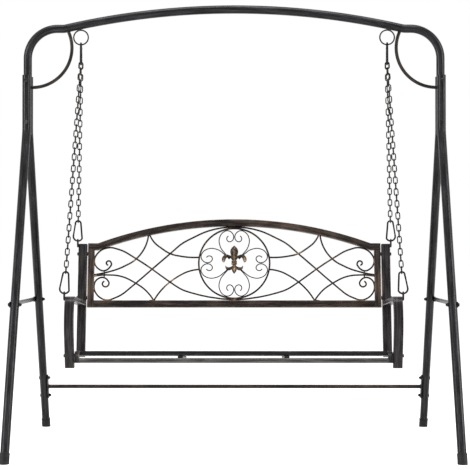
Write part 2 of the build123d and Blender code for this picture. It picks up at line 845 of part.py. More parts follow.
def scroll(shares, layer, bar=scroll_bar):
    """One scroll bar of the right-hand half, in the front (1) or rear (-1) layer of the panel."""
    points = [(x * scroll_half_width, z * scroll_half_height) for x, z in shares]
    depth = layer * (scroll_bar + seat_gap) / 2
    path = stepped(Pos(0, 0, depth) * biarc_path(points), scroll_turn)
    return flat_bar(path, bar, bar, (0, 0, 1))


def trimmed(part, frame):
    """The largest piece of a scroll once what runs into the panel's frame is cut off."""
    for piece in frame:
        part -= piece
    return max(part.solids(), key=lambda solid: solid.volume)


def heart_scroll():
    """One of the eight scrolls of the medallion's hearts, in the panel's frame."""
    points = [(x * medallion_inner_radius, z * medallion_inner_radius) for x, z in heart_shares]
    return flat_bar(stepped(biarc_path(points), scroll_turn), heart_wire, heart_wire, (0, 0, 1))


def fleur_point(x_share, z_share):
    """A point of the fleur-de-lis from shares of its half width and of its reach."""
    return x_share * fleur_half_width, z_share * (fleur_top if z_share > 0 else fleur_bottom)


def fleur_outline(shares, mirrored):
    """A closed face through the given shares; a mirrored one is closed by its image across the middle."""
    spots = [fleur_point(*share) for share in shares]
    if mirrored:
        spots += [(-x, y) for x, y in reversed(spots) if x > 0]
    return make_face(Polyline(*spots, close=True))


def fleur_de_lis():
    """The cast ornament in the middle of the medallion, in the panel's frame."""
    back = heart_wire / 2 + seat_gap
    casting = extrude(Pos(0, 0, back) * fleur_outline(petal_shares, True), fleur_petal_thickness)
    casting += extrude(Pos(0, 0, back) * fleur_outline(tail_petal_shares, True), fleur_petal_thickness)
    for shares in (side_petal_shares, tail_curl_shares):
        face = fleur_outline(shares, False)
        casting += extrude(Pos(0, 0, back) * face, fleur_thickness)
        casting += extrude(Pos(0, 0, back) * mirror(face, about=Plane.YZ), fleur_thickness)
    band = Pos(0, fleur_top * band_top_share / 2 - fleur_bottom * band_bottom_share / 2, back) * Rectangle(
        2 * fleur_half_width * band_half_width_share, fleur_top * band_top_share + fleur_bottom * band_bottom_share
    )
    return casting + extrude(band, fleur_band_thickness)


def hanger_loop(y, top):
    """A wire loop on the right-hand side frame's outer face; top is its upper edge."""
    x = side_outer + seat_gap + loop_wire / 2
    middle = top - loop_height / 2
    straight = (loop_height - loop_width) / 2
    radius = (loop_width - loop_wire) / 2
    plane = Plane(origin=(x, y, middle), x_dir=(0, 1, 0), z_dir=(1, 0, 0))
    path = Wire([
        Edge.make_line((radius, -straight), (radius, straight)),
        Edge.make_three_point_arc((radius, straight), (0, straight + radius), (-radius, straight)),
        Edge.make_line((-radius, straight), (-radius, -straight)),
        Edge.make_three_point_arc((-radius, -straight), (0, -straight - radius), (radius, -straight)),
    ])
    return wire_bar(plane * path, loop_wire, wire_sides, wire_turn)


def bench_bolts():
    """The right-hand side frame's bolts, heads outside and tips in the rail or stile that they hold."""
    outside = side_outer
    bolts = []
    for y, z in (rear_rail_bolt(), front_rail_bolt()) + panel_bolts():
        place = Location(Plane(origin=(outside, y, z), z_dir=(-1, 0, 0)))
        bolts.append(place * hex_bolt(outside - panel_half_width + panel_bolt_reach))
    return bolts


# Build the stand
arch = arch_tube()
corner = corner_tube()
write("top_arch_tube", arch)
write("corner_tubes", *both_sides(corner))
write("corner_braces", *both_sides(corner_brace([arch, corner])))
write("hanging_rings", *both_sides(hanging_ring(arch)))
for depth_name, side in (("front", -1), ("rear", 1)):
    for side_name, part in zip(("right", "left"), both_sides(leg(side))):
        write(f"{depth_name}_leg_{side_name}", part)
write("foot_caps", *both_sides(foot_cap(-1)), *both_sides(foot_cap(1)))
for side_name, part in zip(("right", "left"), both_sides(spreader())):
    write(f"side_spreader_{side_name}", part)
write("rear_crossbar", crossbar())
write("crossbar_straps", *both_sides(crossbar_strap()))
for joint_name, pairs in zip(("leg_joint", "spreader", "crossbar"), stand_fasteners()):
    for kind, index in (("bolts", 0), ("nuts", 1)):
        write(f"{joint_name}_{kind}", *[part for pair in pairs for part in both_sides(pair[index])])

# Build the bench
frame_pieces = [top_rail(wall=0), bottom_rail(wall=0)] + both_sides(stile(wall=0))
ring = flat_bar(
    stepped(CenterArc((0, 0), medallion_radius, 0, 360), ring_turn / 2), medallion_wire, medallion_wire, (0, 0, 1)
)
ring_outside = RegularPolygon(
    medallion_radius + medallion_wire / 2 + seat_gap, round(720 / ring_turn), major_radius=False, rotation=ring_turn / 4
)
ring_envelope = extrude(ring_outside, panel_depth, both=True)


def place_bench(part):
    """Place something drawn in the bench's own frame."""
    return bench_place * part


def write_pair(name, part):
    """Write the right-hand part and its mirror image as two nodes."""
    for side_name, piece in zip(("right", "left"), both_sides(part)):
        write(f"{name}_{side_name}", piece)


write_pair("back_post", place_bench(back_post()))
write_pair("armrest", place_bench(armrest()))
write_pair("seat_rail", place_bench(seat_rail()))
write("seat_slats", *[place_bench(part) for part in slats()])
write("seat_front_bar", place_bench(front_bar()))
write("seat_ribs", *both_sides(place_bench(seat_rib())))
write("back_top_rail", place_bench(on_panel(top_rail())))
write("back_bottom_rail", place_bench(on_panel(bottom_rail())))
write_pair("back_stile", place_bench(on_panel(stile())))
write("medallion_ring", place_bench(on_panel(ring)))
hearts = []
for quarter in range(4):
    hearts += [Rot(0, 0, 90 * quarter) * part for part in both_sides(heart_scroll())]
write("medallion_hearts", *[place_bench(on_panel(part)) for part in hearts])
write("fleur_de_lis", place_bench(on_panel(fleur_de_lis())))
for name, shares, layer in (("upper_scroll_bars", upper_scroll_shares, 1), ("lower_scroll_bars", lower_scroll_shares, -1)):
    bar = trimmed(scroll(shares, layer), frame_pieces)
    write(name, *both_sides(place_bench(on_panel(bar))))
for name, upper, lower, layers in (
    ("outer_diamond_bars", outer_upper_shares, outer_lower_shares, (-1, 1)),
    ("inner_diamond_bars", inner_upper_shares, inner_lower_shares, (1, -1)),
):
    bars = []
    for shares, layer in zip((upper, lower), layers):
        bars += both_sides(trimmed(scroll(shares, layer), frame_pieces + [ring_envelope]))
    write(name, *[place_bench(on_panel(part)) for part in bars])
write("bench_bolts", *[place_bench(part) for bolt in bench_bolts() for part in both_sides(bolt)])
loop_tops = {
    "front": (front_loop_y, arm_top + front_loop_stand_up),
    "rear": (post_y(post_top) - rear_loop_setback, post_top + rear_loop_stand_up),
}
write("hanger_loops", *[part for top in loop_tops.values() for part in both_sides(place_bench(hanger_loop(*top)))])

# Hang the bench: one upper hook a side, and a chain and a lower hook to each loop
body, gate, pin = hook_body(), hook_gate(), hook_pin()
hinge = hook_hinge()
hook_top = Vector(ring_offset, 0, pivot_height + ring_wire / 2 + ring_fit + hook_wire / 2 * wire_flat_share)
upper_place = Plane(origin=hook_top - Vector(0, 0, hook_span), x_dir=(0, 1, 0), z_dir=(1, 0, 0))
loop_x = side_outer + seat_gap + loop_wire / 2
lower_places = {}
for name, (y, top) in loop_tops.items():
    loop_eye = (bench_place * Pos(loop_x, y, top - loop_width / 2)).position
    shift = chain_spacing if y > 0 else -chain_spacing
    lift = hook_wide_radius - math.sqrt(hook_wide_radius**2 - chain_spacing**2)
    start = upper_place.origin + Vector(0, shift, lift)
    down = (loop_eye - start).normalized()
    across = (Vector(1, 0, 0) - down * down.X).normalized()
    origin = loop_eye - down * ((loop_width - loop_wire) / 2 - hook_seat)
    lower_places[name] = Plane(origin=origin, x_dir=across, z_dir=across.cross(down * -1))
    links = chain(start, origin - down * hook_span)
    write(f"{name}_chain_right", *links)
    write(f"{name}_chain_left", *[mirror(link, about=Plane.YZ) for link in links])
places = [("upper", upper_place)] + list(lower_places.items())
write("upper_snap_hooks", *both_sides(upper_place.location * body))
write("lower_snap_hooks", *[part for place in lower_places.values() for part in both_sides(place.location * body)])
write("hook_pins", *[part for name, place in places for part in both_sides(place.location * pin)])
for name, place in places:
    write_pair(f"{name}_hook_gate", place.location * gate)
    pivot = place.from_local_coords(hinge)
    print(f"{name} gate hinge at {pivot.X:.2f} {pivot.Y:.2f} {pivot.Z:.2f}, normal {place.z_dir}")
print(f"swing axis at height {pivot_height:.2f}")
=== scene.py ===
"""The garden swing bench's visible surfaces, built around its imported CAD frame."""
import bisect
import math

import bpy
from mathutils import Matrix, Vector

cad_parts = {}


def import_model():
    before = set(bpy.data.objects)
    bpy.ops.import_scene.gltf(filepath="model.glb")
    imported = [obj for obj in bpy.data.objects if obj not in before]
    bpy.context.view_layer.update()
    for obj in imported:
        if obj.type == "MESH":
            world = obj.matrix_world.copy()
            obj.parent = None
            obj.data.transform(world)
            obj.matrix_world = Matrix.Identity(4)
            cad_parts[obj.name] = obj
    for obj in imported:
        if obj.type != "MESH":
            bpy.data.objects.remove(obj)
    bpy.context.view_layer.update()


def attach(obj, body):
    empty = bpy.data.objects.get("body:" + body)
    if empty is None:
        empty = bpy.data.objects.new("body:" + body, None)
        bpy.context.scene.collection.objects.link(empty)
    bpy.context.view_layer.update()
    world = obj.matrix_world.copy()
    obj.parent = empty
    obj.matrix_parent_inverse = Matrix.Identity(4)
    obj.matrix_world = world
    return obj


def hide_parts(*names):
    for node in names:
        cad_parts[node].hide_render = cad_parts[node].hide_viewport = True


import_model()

# Lengths are in millimetres until a mesh is made
MM = 0.001

# Stand
tube = 35.0
tube_wall = 1.6
tube_lip = 0.5
tube_sides = 36
stand_x = 864.0
arch_end_x = 697.0
arch_top = 1816.0
arch_rise = 78.0
arch_mouth = 3.0
kink_offset = 14.0
kink_radius = 60.0
corner_radius = 125.0
corner_bottom = 1290.0
spigot_play = 0.1
spigot_start = 2.5
leg_y_top = 35.3
leg_top = 1537.0
leg_bend = 1304.0
leg_bend_radius = 90.0
foot_y = 605.0
mouth_depth = 40.0
cap_height = 42.0
cap_radius = 19.55
leg_end = 14.0
brace_rod = 14.0
brace_radius = 166.0
brace_center = (845.0, 1655.0)
brace_angles = (146.0, 281.0)
spreader_height = 592.0
spreader_rod = 18.0
tab_width = 24.0
tab_thickness = 4.0
tab_taper = 26.0
tab_tip = 0.05
tab_corner_power = 3.2
crossbar_height = 191.0
crossbar_rod = 17.0
crossbar_weld = 2.2
strap_length = 118.0
strap_width = 28.0
strap_thickness = 4.0
strap_bed = 1.2
strap_bolt_spacing = 90.0
joint_heights = (1514.0, 1340.0)
bolt_head_width = 13.0
bolt_head_height = 5.5
nut_height = 6.5
nut_dome_height = 4.0
nut_dome_inset = 1.3
low_head_height = 2.2
low_head_bed = 0.6
collar_radius = 6.0
washer_radius = 8.4
washer_thickness = 1.3
ring_x = 641.0
ring_wire = 6.0
ring_radius = 30.5
ring_weld = (8.5, 4.4, 3.2)
pivot_z = 1668.17

# The foot cap: (level above the floor, change of radius), then (drop from its top, change of radius)
cap_sole = ((0.0, -4.0), (0.0, -1.2), (0.5, -0.3), (1.4, 0.0))
cap_rim = ((5.0, 0.0), (4.5, 0.5), (1.0, 0.5), (0.3, 0.2), (0.0, -0.4), (0.0, -2.35))

# Snap hooks and chains
hook_wire = 7.5
hook_span = 89.5
hook_wide_radius = 19.75
hook_small_radius = 11.75
hook_nose = 4.0
hook_tip_gap = 0.4
hook_play = 0.35
hinge_drop = 10.0
gate_width = 6.4
gate_root = 0.6
tongue_thickness = 3.0
tongue_radius = 3.0
pin_radius = 1.3
rivet_radius = 2.1
rivet_rise = 0.9
chain_spacing = 7.0
chain_top_gap = 2.4
chain_bottom_gap = 1.5
link_wire = 4.6
link_width = 20.0
link_pitch = 25.0
link_gap = 0.3
link_weld_half = 3.2
link_weld_swell = 0.16

# Bench, in its own frame
bench_origin = (0.0, -69.0, 389.5)
bench_tilt = 4.3
bench_x = 636.0
side_width = 38.0
side_depth = 20.0
post_low = -22.0
post_high = 464.0
post_low_y = 204.7
recline = 6.5
plug_play = 3.4
plug_rise = 1.6
arm_top = 218.0
arm_front_y = -234.0
arm_radius = 38.0
bow_y = -252.0
bow_z = 105.0
bow_radius = 190.0
upright_foot = (-198.0, -66.0)
gap = 0.3
rail_width = 20.0
seat_thickness = 19.0
seat_rear_y = 218.0
seat_front_y = -216.0
seat_drop = 48.0
seat_front_radius = 32.0
slat_count = 8
slat_width = 34.0
slat_rows = (-172.0, 180.0)
front_rod = 20.0
front_rod_z = -38.0
front_rod_weld = 1.8
rib_x = 213.0
rib_width = 20.0
rib_height = 12.0
rib_rear_y = 197.0
top_bolt_drop = 42.0
low_bolt_rise = 13.0
loop_wire = 6.0
loop_height = 38.0
loop_width = 26.0
loop_weld_rise = 12.0
loop_weld = (2.6, 3.0, 6.0)
front_loop_y = -222.0
front_loop_rise = 20.0
rear_loop_setback = 9.0
rear_loop_rise = 24.0

# Back panel, in its own frame: the origin is the middle of the medallion
panel_z = 381.6
panel_depth = 20.0
stile_width = 28.0
rail_height = 30.0
half_opening = 163.0
level_end = 46.0
top_rail_rise = 106.0
scroll_bar = 6.0
ring_bar = 6.0
heart_wire = 4.0
ring_bar_seen = 7.4
scroll_bar_seen = 7.0
heart_wire_seen = 4.5
ring_gap = 0.75
panel_gap = 3.2
spacer_radius = 8.0
fleur_half_width = 55.0
fleur_top = 78.0
fleur_bottom = 47.0

# How far the edges of each kind of bar are rounded
edge = 2.6
arm_edge = 3.2
seat_rail_edge = 2.4
rib_edge = 2.0
plug_edge = 2.2
scroll_edge = 1.7
ring_edge = 2.0
collar_edge = 2.4

# Scroll outlines, as shares of the panel opening's half width and half height
upper_scroll = [
    (0.900, -0.055), (0.914, 0.006), (0.897, 0.060), (0.878, -0.010), (0.890, -0.119),
    (0.930, -0.210), (0.978, -0.130), (1.000, 0.060), (0.970, 0.300), (0.895, 0.425),
    (0.822, 0.370), (0.703, 0.125), (0.588, -0.162), (0.461, -0.511), (0.363, -0.739),
    (0.305, -0.812), (0.181, -0.925), (0.000, -1.000),
]
lower_scroll = [
    (0.926, -0.490), (0.941, -0.562), (0.919, -0.642), (0.894, -0.560), (0.905, -0.455),
    (0.940, -0.386), (0.980, -0.445), (1.000, -0.620), (0.975, -0.870), (0.905, -1.000),
    (0.841, -0.930), (0.703, -0.546), (0.588, -0.162), (0.461, 0.258), (0.363, 0.572),
    (0.305, 0.690), (0.181, 0.900), (0.000, 1.000),
]
outer_upper = [
    (1.010, -0.316), (0.914, -0.250), (0.803, -0.110), (0.703, 0.118), (0.650, 0.370), (0.615, 0.820)]
outer_lower = [
    (1.010, -0.365), (0.914, -0.322), (0.799, -0.371), (0.703, -0.546), (0.629, -0.750), (0.570, -1.040)]
inner_upper = [(0.612, 0.840), (0.574, 0.575), (0.521, 0.406), (0.461, 0.265), (0.370, 0.180), (0.245, 0.160)]
inner_lower = [
    (0.575, -1.040), (0.521, -0.738), (0.461, -0.516), (0.393, -0.340), (0.334, -0.230), (0.245, -0.165)]
touch_shares = [
    (0.000, -1.000), (0.000, 1.000), (1.000, 0.060), (1.000, -0.620), (0.905, -1.000), (1.010, -0.340),
    (0.588, -0.162), (0.703, 0.125), (0.703, -0.546), (0.461, -0.511), (0.461, 0.262), (0.615, 0.820),
    (0.570, -1.040),
]

# Weld beads where the diamond bars end or touch: their place in the same shares, and their radii
outer_welds = (
    (0.928, -0.300, (4.2, 13.0, 5.2)), (1.004, -0.340, (3.5, 7.0, 6.0)), (1.004, 0.060, (2.6, 6.0, 5.5)),
    (1.004, -0.620, (2.6, 6.0, 5.5)), (0.905, -1.012, (6.0, 2.6, 5.5)), (0.592, -1.015, (10.0, 2.8, 5.5)))
inner_welds = (
    (0.613, 0.790, (9.0, 5.0, 5.5)), (0.252, 0.163, (3.0, 4.5, 5.2)), (0.252, -0.168, (3.0, 4.5, 5.2)))
medallion_weld = (9.0, 2.2, 4.5)

# Heart scroll outline, as shares of the medallion's inner radius
heart = [
    (0.120, 0.140), (0.254, 0.274), (0.400, 0.480), (0.430, 0.720), (0.3305, 0.899), (0.1815, 0.955),
    (0.060, 0.888), (0.0165, 0.770), (0.055, 0.665), (0.145, 0.630), (0.215, 0.705), (0.165, 0.800),
]

# Right-hand edges of the fleur-de-lis, as shares of its half width and of its height above or below
# its middle
petal = [
    (0.150, 0.10), (0.185, 0.24), (0.250, 0.42), (0.310, 0.60), (0.300, 0.73), (0.205, 0.855), (0.085, 0.94),
    (0.004, 1.00)]
point = [(0.120, -0.12), (0.180, -0.34), (0.205, -0.56), (0.150, -0.78), (0.065, -0.92), (0.004, -1.00)]
side_inner = [
    (0.08, 0.08), (0.20, 0.20), (0.36, 0.325), (0.52, 0.34), (0.65, 0.25), (0.71, 0.13), (0.79, 0.035)]
side_outer_edge = [
    (0.05, 0.20), (0.20, 0.385), (0.42, 0.465), (0.63, 0.49), (0.83, 0.43), (0.965, 0.28), (0.96, 0.13),
    (0.865, 0.04)]
tail_inner = [(0.05, -0.10), (0.16, -0.25), (0.32, -0.36), (0.48, -0.385), (0.60, -0.33), (0.665, -0.235)]
tail_outer = [(0.03, -0.30), (0.14, -0.52), (0.34, -0.67), (0.54, -0.655), (0.68, -0.48), (0.70, -0.25)]

# The fleur-de-lis's collar: each band's height, half length, half width and half depth
collar = ((7.5, 12.2, 2.6, 4.6), (1.8, 11.6, 3.4, 5.5), (-4.2, 12.4, 2.6, 4.6))
collar_depth = 3.2

# Sizes that follow
side_outer = bench_x + side_width
side_middle = bench_x + side_width / 2
panel_x = bench_x - gap
stile_outer = panel_x - panel_gap
slat_half = panel_x - rail_width - gap
scroll_half_width = panel_x - stile_width - scroll_bar / 2
scroll_half_height = half_opening - scroll_bar / 2
medallion_radius = half_opening - scroll_bar - ring_bar / 2 - ring_gap
heart_reach = medallion_radius - ring_bar / 2
leg_slope = (foot_y - leg_y_top) / leg_bend
recline_slope = math.tan(math.radians(recline))
arch_radius = (arch_end_x**2 + arch_rise**2) / (2 * arch_rise)
arch_center = Vector((0, 0, arch_top - arch_radius))
arch_angle = math.asin(arch_end_x / arch_radius)
arch_heading = Vector((math.cos(arch_angle), 0, -math.sin(arch_angle)))
X, Y, Z = Vector((1, 0, 0)), Vector((0, 1, 0)), Vector((0, 0, 1))
hands = (("right", False), ("left", True))

# Light and camera: each lamp's name, place, aim, size and brightness
white = (1.0, 1.0, 1.0, 1.0)
floor_tones = ((0.90, 0.90, 0.90, 1), (0.92, 0.92, 0.92, 1))
floor_glow = 0.68
world_light = 0.42
lamps = (
    ("left strip", (-4.4, -2.6, 1.6), (0, 0, 1.0), (1.1, 3.6), 14),
    ("right strip", (4.4, -1.6, 1.9), (0, 0, 1.0), (1.3, 3.6), 10),
    ("top", (0, -0.6, 4.4), (0, 0, 0.8), (3.2, 1.6), 7),
)
camera_spot = (0.031, -6.184, 0.802)
camera_turn = (90.640, 0.0, 0.248)
camera_lens = 113.26


def post_y(height):
    """Depth of the back post's middle at a height of the bench's frame."""
    return post_low_y + (height - post_low) * recline_slope


def basis(x, y, z, origin=(0, 0, 0)):
    """The matrix whose axes and origin these are."""
    return Matrix.Translation(origin) @ Matrix((x, y, z)).transposed().to_4x4()


bench_place = Matrix.Translation(bench_origin) @ Matrix.Rotation(math.radians(-bench_tilt), 4, "X")
panel_front = Vector((0, -math.cos(math.radians(recline)), math.sin(math.radians(recline))))
panel_place = bench_place @ basis(X, panel_front.cross(X), panel_front, (0, post_y(panel_z), panel_z))


# Mesh tools

class Form:
    """Faces gathered for one piece, with their grain at each corner and how rubbed each point is."""

    def __init__(self):
        self.points, self.rubs, self.faces, self.grains = [], [], [], []

    def skin(self, rings, closed=False, length=0.0):
        """Join rings of (points, flat points, rubs, distance); open ends are closed by a face."""
        first, width, count = len(self.points), len(rings[0][0]), len(rings)
        for spots, _, rubs, _ in rings:
            self.points += spots
            self.rubs += rubs

        def grain(row, column):
            flat, distance = rings[row % count][1][column], rings[row % count][3]
            return (*flat, distance + (length if row >= count else 0.0))

        for row in range(count if closed else count - 1):
            for column in range(width):
                beside = (column + 1) % width
                corners = ((row, column), (row, beside), (row + 1, beside), (row + 1, column))
                self.faces.append([first + (r % count) * width + c for r, c in corners])
                self.grains += [grain(r, c) for r, c in corners]
        if not closed:
            for row, columns in ((0, range(width - 1, -1, -1)), (count - 1, range(width))):
                self.faces.append([first + row * width + c for c in columns])
                self.grains += [grain(row, c) for c in columns]
        return self

    def add(self, other, place=Matrix(), mirrored=False):
        """Copy another form in, placed by a matrix or mirrored across the middle."""
        first, drift = len(self.points), 0.37 * len(self.points)
        sign = -1 if mirrored else 1
        self.points += [Vector((sign * p.x, p.y, p.z)) for p in (place @ point for point in other.points)]
        self.rubs += other.rubs
        corner = 0
        for face in other.faces:
            grains = [(a, b, s + drift) for a, b, s in other.grains[corner:corner + len(face)]]
            corner += len(face)
            self.faces.append([first + index for index in face[::sign]])
            self.grains += grains[::sign]
        return self


def both(form):
    """A form and its mirror image."""
    return Form().add(form).add(form, mirrored=True)


def placed(form, place, mirrored=False):
    """A copy of a form, placed and perhaps mirrored."""
    return Form().add(form, place, mirrored)


def arc(center, start, axis, angle, turn=5.0):
    """Points from center + start round an axis by an angle in degrees."""
    steps = max(1, math.ceil(abs(angle) / turn))
    turns = [math.radians(angle * k / steps) for k in range(steps + 1)]
    return [Vector(center) + Matrix.Rotation(t, 3, axis) @ Vector(start) for t in turns]


def rounded(corners, radii, turn):
    """A path through corners, each bend rounded to its radius."""
    corners = [Vector(c) for c in corners]
    path = [corners[0]]
    for before, corner, after, radius in zip(corners, corners[1:], corners[2:], radii):
        come, leave = (corner - before).normalized(), (after - corner).normalized()
        bend = come.angle(leave)
        start = corner - come * radius * math.tan(bend / 2)
        center = corner + (leave - come).normalized() * radius / math.cos(bend / 2)
        path += arc(center, start - center, come.cross(leave), math.degrees(bend), turn)
    return path + [corners[-1]]


def tangent_arc(start, end, heading, turn):
    """Points of the arc that leaves start along a heading in the XY plane and ends at end."""
    chord = end - start
    side = Vector((-heading.y, heading.x, 0))
    bend = 2 * math.atan2(side.dot(chord), heading.dot(chord))
    if abs(bend) < 1e-3:
        return [start, end]
    radius = chord.length_squared / (2 * side.dot(chord))
    return arc(start + side * radius, -side * radius, Z, math.degrees(bend), turn)


def smooth_headings(spots):
    """The direction of a smooth curve at each of its points."""
    last = len(spots) - 1
    headings = []
    for index, spot in enumerate(spots):
        come, leave = spot - spots[max(index - 1, 0)], spots[min(index + 1, last)] - spot
        share = 1.0 if index in (0, last) else leave.length / come.length
        headings.append((come * share + leave / share).normalized())
    for end, beside in ((0, 1), (-1, -2)):
        chord = headings[end]
        headings[end] = (chord * 2 * chord.dot(headings[beside]) - headings[beside]).normalized()
    return headings


def smooth_path(shares, width, height, turn=6.0):
    """Tangent arcs through points given as shares of a half width and half height."""
    spots = [Vector((x * width, z * height, 0)) for x, z in shares]
    headings = smooth_headings(spots)
    path = [spots[0]]
    for start, end, heading, goal in zip(spots, spots[1:], headings, headings[1:]):
        reach, total = end - start, heading + goal
        spread = 2 * (1 - heading.dot(goal))
        if spread > 1e-6:
            root = math.sqrt(reach.dot(total)**2 + spread * reach.length_squared)
            size = (root - reach.dot(total)) / spread
        else:
            size = reach.length_squared / (2 * reach.dot(total))
        middle = (start + end + (heading - goal) * size) * 0.5
        path += tangent_arc(start, middle, heading, turn)[1:] + tangent_arc(end, middle, -goal, turn)[-2::-1]
    return path


def bow(radius, first, last, steps, x=0.0, y=0.0):
    """Points of an arc round (x, y), from one angle to another in quarter turns."""
    turns = [math.pi / 2 * (first + (last - first) * k / steps) for k in range(steps + 1)]
    return [(x + radius * math.cos(t), y + radius * math.sin(t)) for t in turns]


def circle(radius, sides):
    """Points round a circle."""
    return bow(radius, 0, 4, sides)[:-1]


def round_section(diameter, sides=28):
    """A round section; an inset makes it smaller."""
    def at(inset):
        return [(a, b, 0.0) for a, b in circle(diameter / 2 - inset, sides)]
    return at


def box_section(width, depth, radius, rub=1.0):
    """A rectangle with rounded, rubbed edges; width lies along the path's normal."""
    def at(inset):
        half_w, half_d = width / 2 - inset, depth / 2 - inset
        bend = max(min(radius - inset, half_w, half_d), 0.05)
        margin = min(2.2, 0.45 * (half_w - bend), 0.45 * (half_d - bend))
        points = []
        for quarter, (a, b) in enumerate(((1, 1), (-1, 1), (-1, -1), (1, -1))):
            ring = bow(bend, quarter, quarter + 1, 3, a * (half_w - bend), b * (half_d - bend))
            c, s = margin * math.cos(math.pi / 2 * quarter), margin * math.sin(math.pi / 2 * quarter)
            points.append((ring[0][0] + s, ring[0][1] - c, 0.0))
            points += [(x, y, rub) for x, y in ring]
            points.append((ring[-1][0] - c, ring[-1][1] - s, 0.0))
        return points
    return at


def hex_section(width, rub=0.6):
    """A hexagon with softened corners, measured across its flats."""
    def at(inset):
        reach = (width / 2 - inset) / math.cos(math.pi / 6)
        points = []
        for corner in range(6):
            for shift, share in ((-2.5, 0.992), (0.0, 0.988), (2.5, 0.992)):
                turn = math.radians(60 * corner + shift)
                points.append((reach * share * math.cos(turn), reach * share * math.sin(turn), rub))
        return points
    return at


def soft(radius, steps=3):
    """Rings of a rounded closed end."""
    return [(radius - a, radius - b) for a, b in bow(radius, 0, 1, steps)]


def mouth(depth):
    """Rings of an open tube end."""
    rim = [(tube_lip, tube_wall), (0, tube_wall - tube_lip), (0, tube_lip), (tube_lip, 0)]
    return [(depth, tube_wall)] + rim


def flare(size):
    """Rings of an end that spreads into a weld bead; its face is inside what it is welded to."""
    return [(0, -size), (size * 0.45, -size * 0.8), (size, -size * 0.35), (size * 1.7, 0)]


def sweep(path, normal, section, start=None, end=None, closed=False, step=40.0, rub=None):
    """Carry a section along a flat path. start and end are rings as (distance from that end, inset)."""
    path = [Vector(p) for p in path]
    spots = [path[0]]
    for spot in path[1:] + ([path[0]] if closed else []):
        base = spots[-1]
        reach = (spot - base).length
        if reach > 1e-4:
            pieces = math.ceil(reach / step)
            spots += [base.lerp(spot, k / pieces) for k in range(1, pieces + 1)]
    distances = [0.0]
    for a, b in zip(spots, spots[1:]):
        distances.append(distances[-1] + (b - a).length)
    total = distances[-1]
    legs = [(b - a).normalized() for a, b in zip(spots, spots[1:])]
    if closed:
        headings = [(legs[k - 1] + legs[k % len(legs)]).normalized() for k in range(len(spots))]
        stations = [(distance, 0.0) for distance in distances[:-1]]
    else:
        headings = [legs[0]] + [(a + b).normalized() for a, b in zip(legs, legs[1:])] + [legs[-1]]
        start, end = start or [(0, 0)], end or [(0, 0)]
        low, high = start[-1][0], total - end[-1][0]
        between = [distance for distance in distances if low + 0.5 < distance < high - 0.5]
        stations = start + [(distance, 0.0) for distance in between]
        stations += [(total - back, inset) for back, inset in reversed(end)]
    rings = []
    for distance, inset in stations:
        index = min(len(spots) - 2, bisect.bisect_right(distances, distance) - 1)
        share = (distance - distances[index]) / (distances[index + 1] - distances[index])
        spot = spots[index].lerp(spots[index + 1], share)
        side = headings[index].lerp(headings[index + 1], share).normalized().cross(normal)
        ring = section(inset)
        extra = rub(spot) if rub else 0.0
        points = [spot + normal * a + side * b for a, b, _ in ring]
        rubs = [min(1.0, r + extra) for _, _, r in ring]
        rings.append((points, [(a, b) for a, b, _ in ring], rubs, distance))
    return Form().skin(rings, closed, total)


def straight(start, end, normal, section, ends=None, step=40.0, rub=None):
    """Carry a section along a straight line."""
    return sweep([start, end], normal, section, ends, ends, step=step, rub=rub)


def lathe(outline, sides=24, rub=0.0):
    """Turn an outline of (radius, height) about the Z axis, from bottom to top."""
    rings = []
    for radius, height in outline:
        spots = circle(radius, sides)
        rings.append(([Vector((a, b, height)) for a, b in spots], spots, [rub] * sides, height))
    return Form().skin(rings)


def dome(radius, base, rise, steps, tip=0.4):
    """The outline of a dome to be turned."""
    curve = [(radius * a, base + rise * b) for a, b in bow(1.0, 0, 1, steps)[:-1]]
    return curve + [(tip, base + rise)]


def plate(outline, low, high, place, bevel, rub=0.6):
    """A flat plate of an outline in the XY plane of a place, its edges softened."""
    spots = [Vector((x, y, 0)) for x, y in outline]
    outward = []
    for before, spot, after in zip(spots[-1:] + spots, spots, spots[1:] + spots[:1]):
        heading = ((spot - before).normalized() + (after - spot).normalized()).normalized()
        outward.append(Vector((heading.y, -heading.x, 0)))
    rows = ((0.0, 2.5, 0.0), (0.0, 1.0, 0.6), (0.3, 0.3, 1.0), (1.0, 0.0, 0.8))
    levels = [(low + rise * bevel, inset * bevel, share * rub) for rise, inset, share in rows]
    levels += [(high - rise * bevel, inset * bevel, share * rub) for rise, inset, share in reversed(rows)]
    rings = []
    for height, inset, wear in levels:
        ring = [spot - out * inset for spot, out in zip(spots, outward)]
        points = [place @ (p + Z * height) for p in ring]
        rings.append((points, [(p.x, height) for p in ring], [wear] * len(ring), ring[0].y))
    return Form().skin(rings)


def capsule(length, width):
    """The outline of a slot with round ends, long along X."""
    right = bow(width / 2, -1, 1, 10, (length - width) / 2)
    return right + [(-x, -y) for x, y in right]


def blob(center, radii, rub=0.8, turned=Matrix(), sides=14, rows=8):
    """A small rounded bead of weld metal."""
    rings = []
    for row in range(1, rows):
        tilt = math.pi * row / rows
        spots = []
        for k in range(sides):
            turn = math.tau * k / sides
            swell = 1 + 0.05 * math.sin(5 * turn + 3 * tilt) + 0.04 * math.sin(9 * tilt)
            across = swell * math.sin(tilt)
            x, y = radii[0] * across * math.cos(turn), radii[1] * across * math.sin(turn)
            spots.append(Vector((x, y, -radii[2] * math.cos(tilt))))
        points = [Vector(center) + turned.to_3x3() @ p for p in spots]
        rings.append((points, [(p.x, p.y) for p in spots], [rub] * sides, spots[0].z))
    return Form().skin(rings)


# Materials

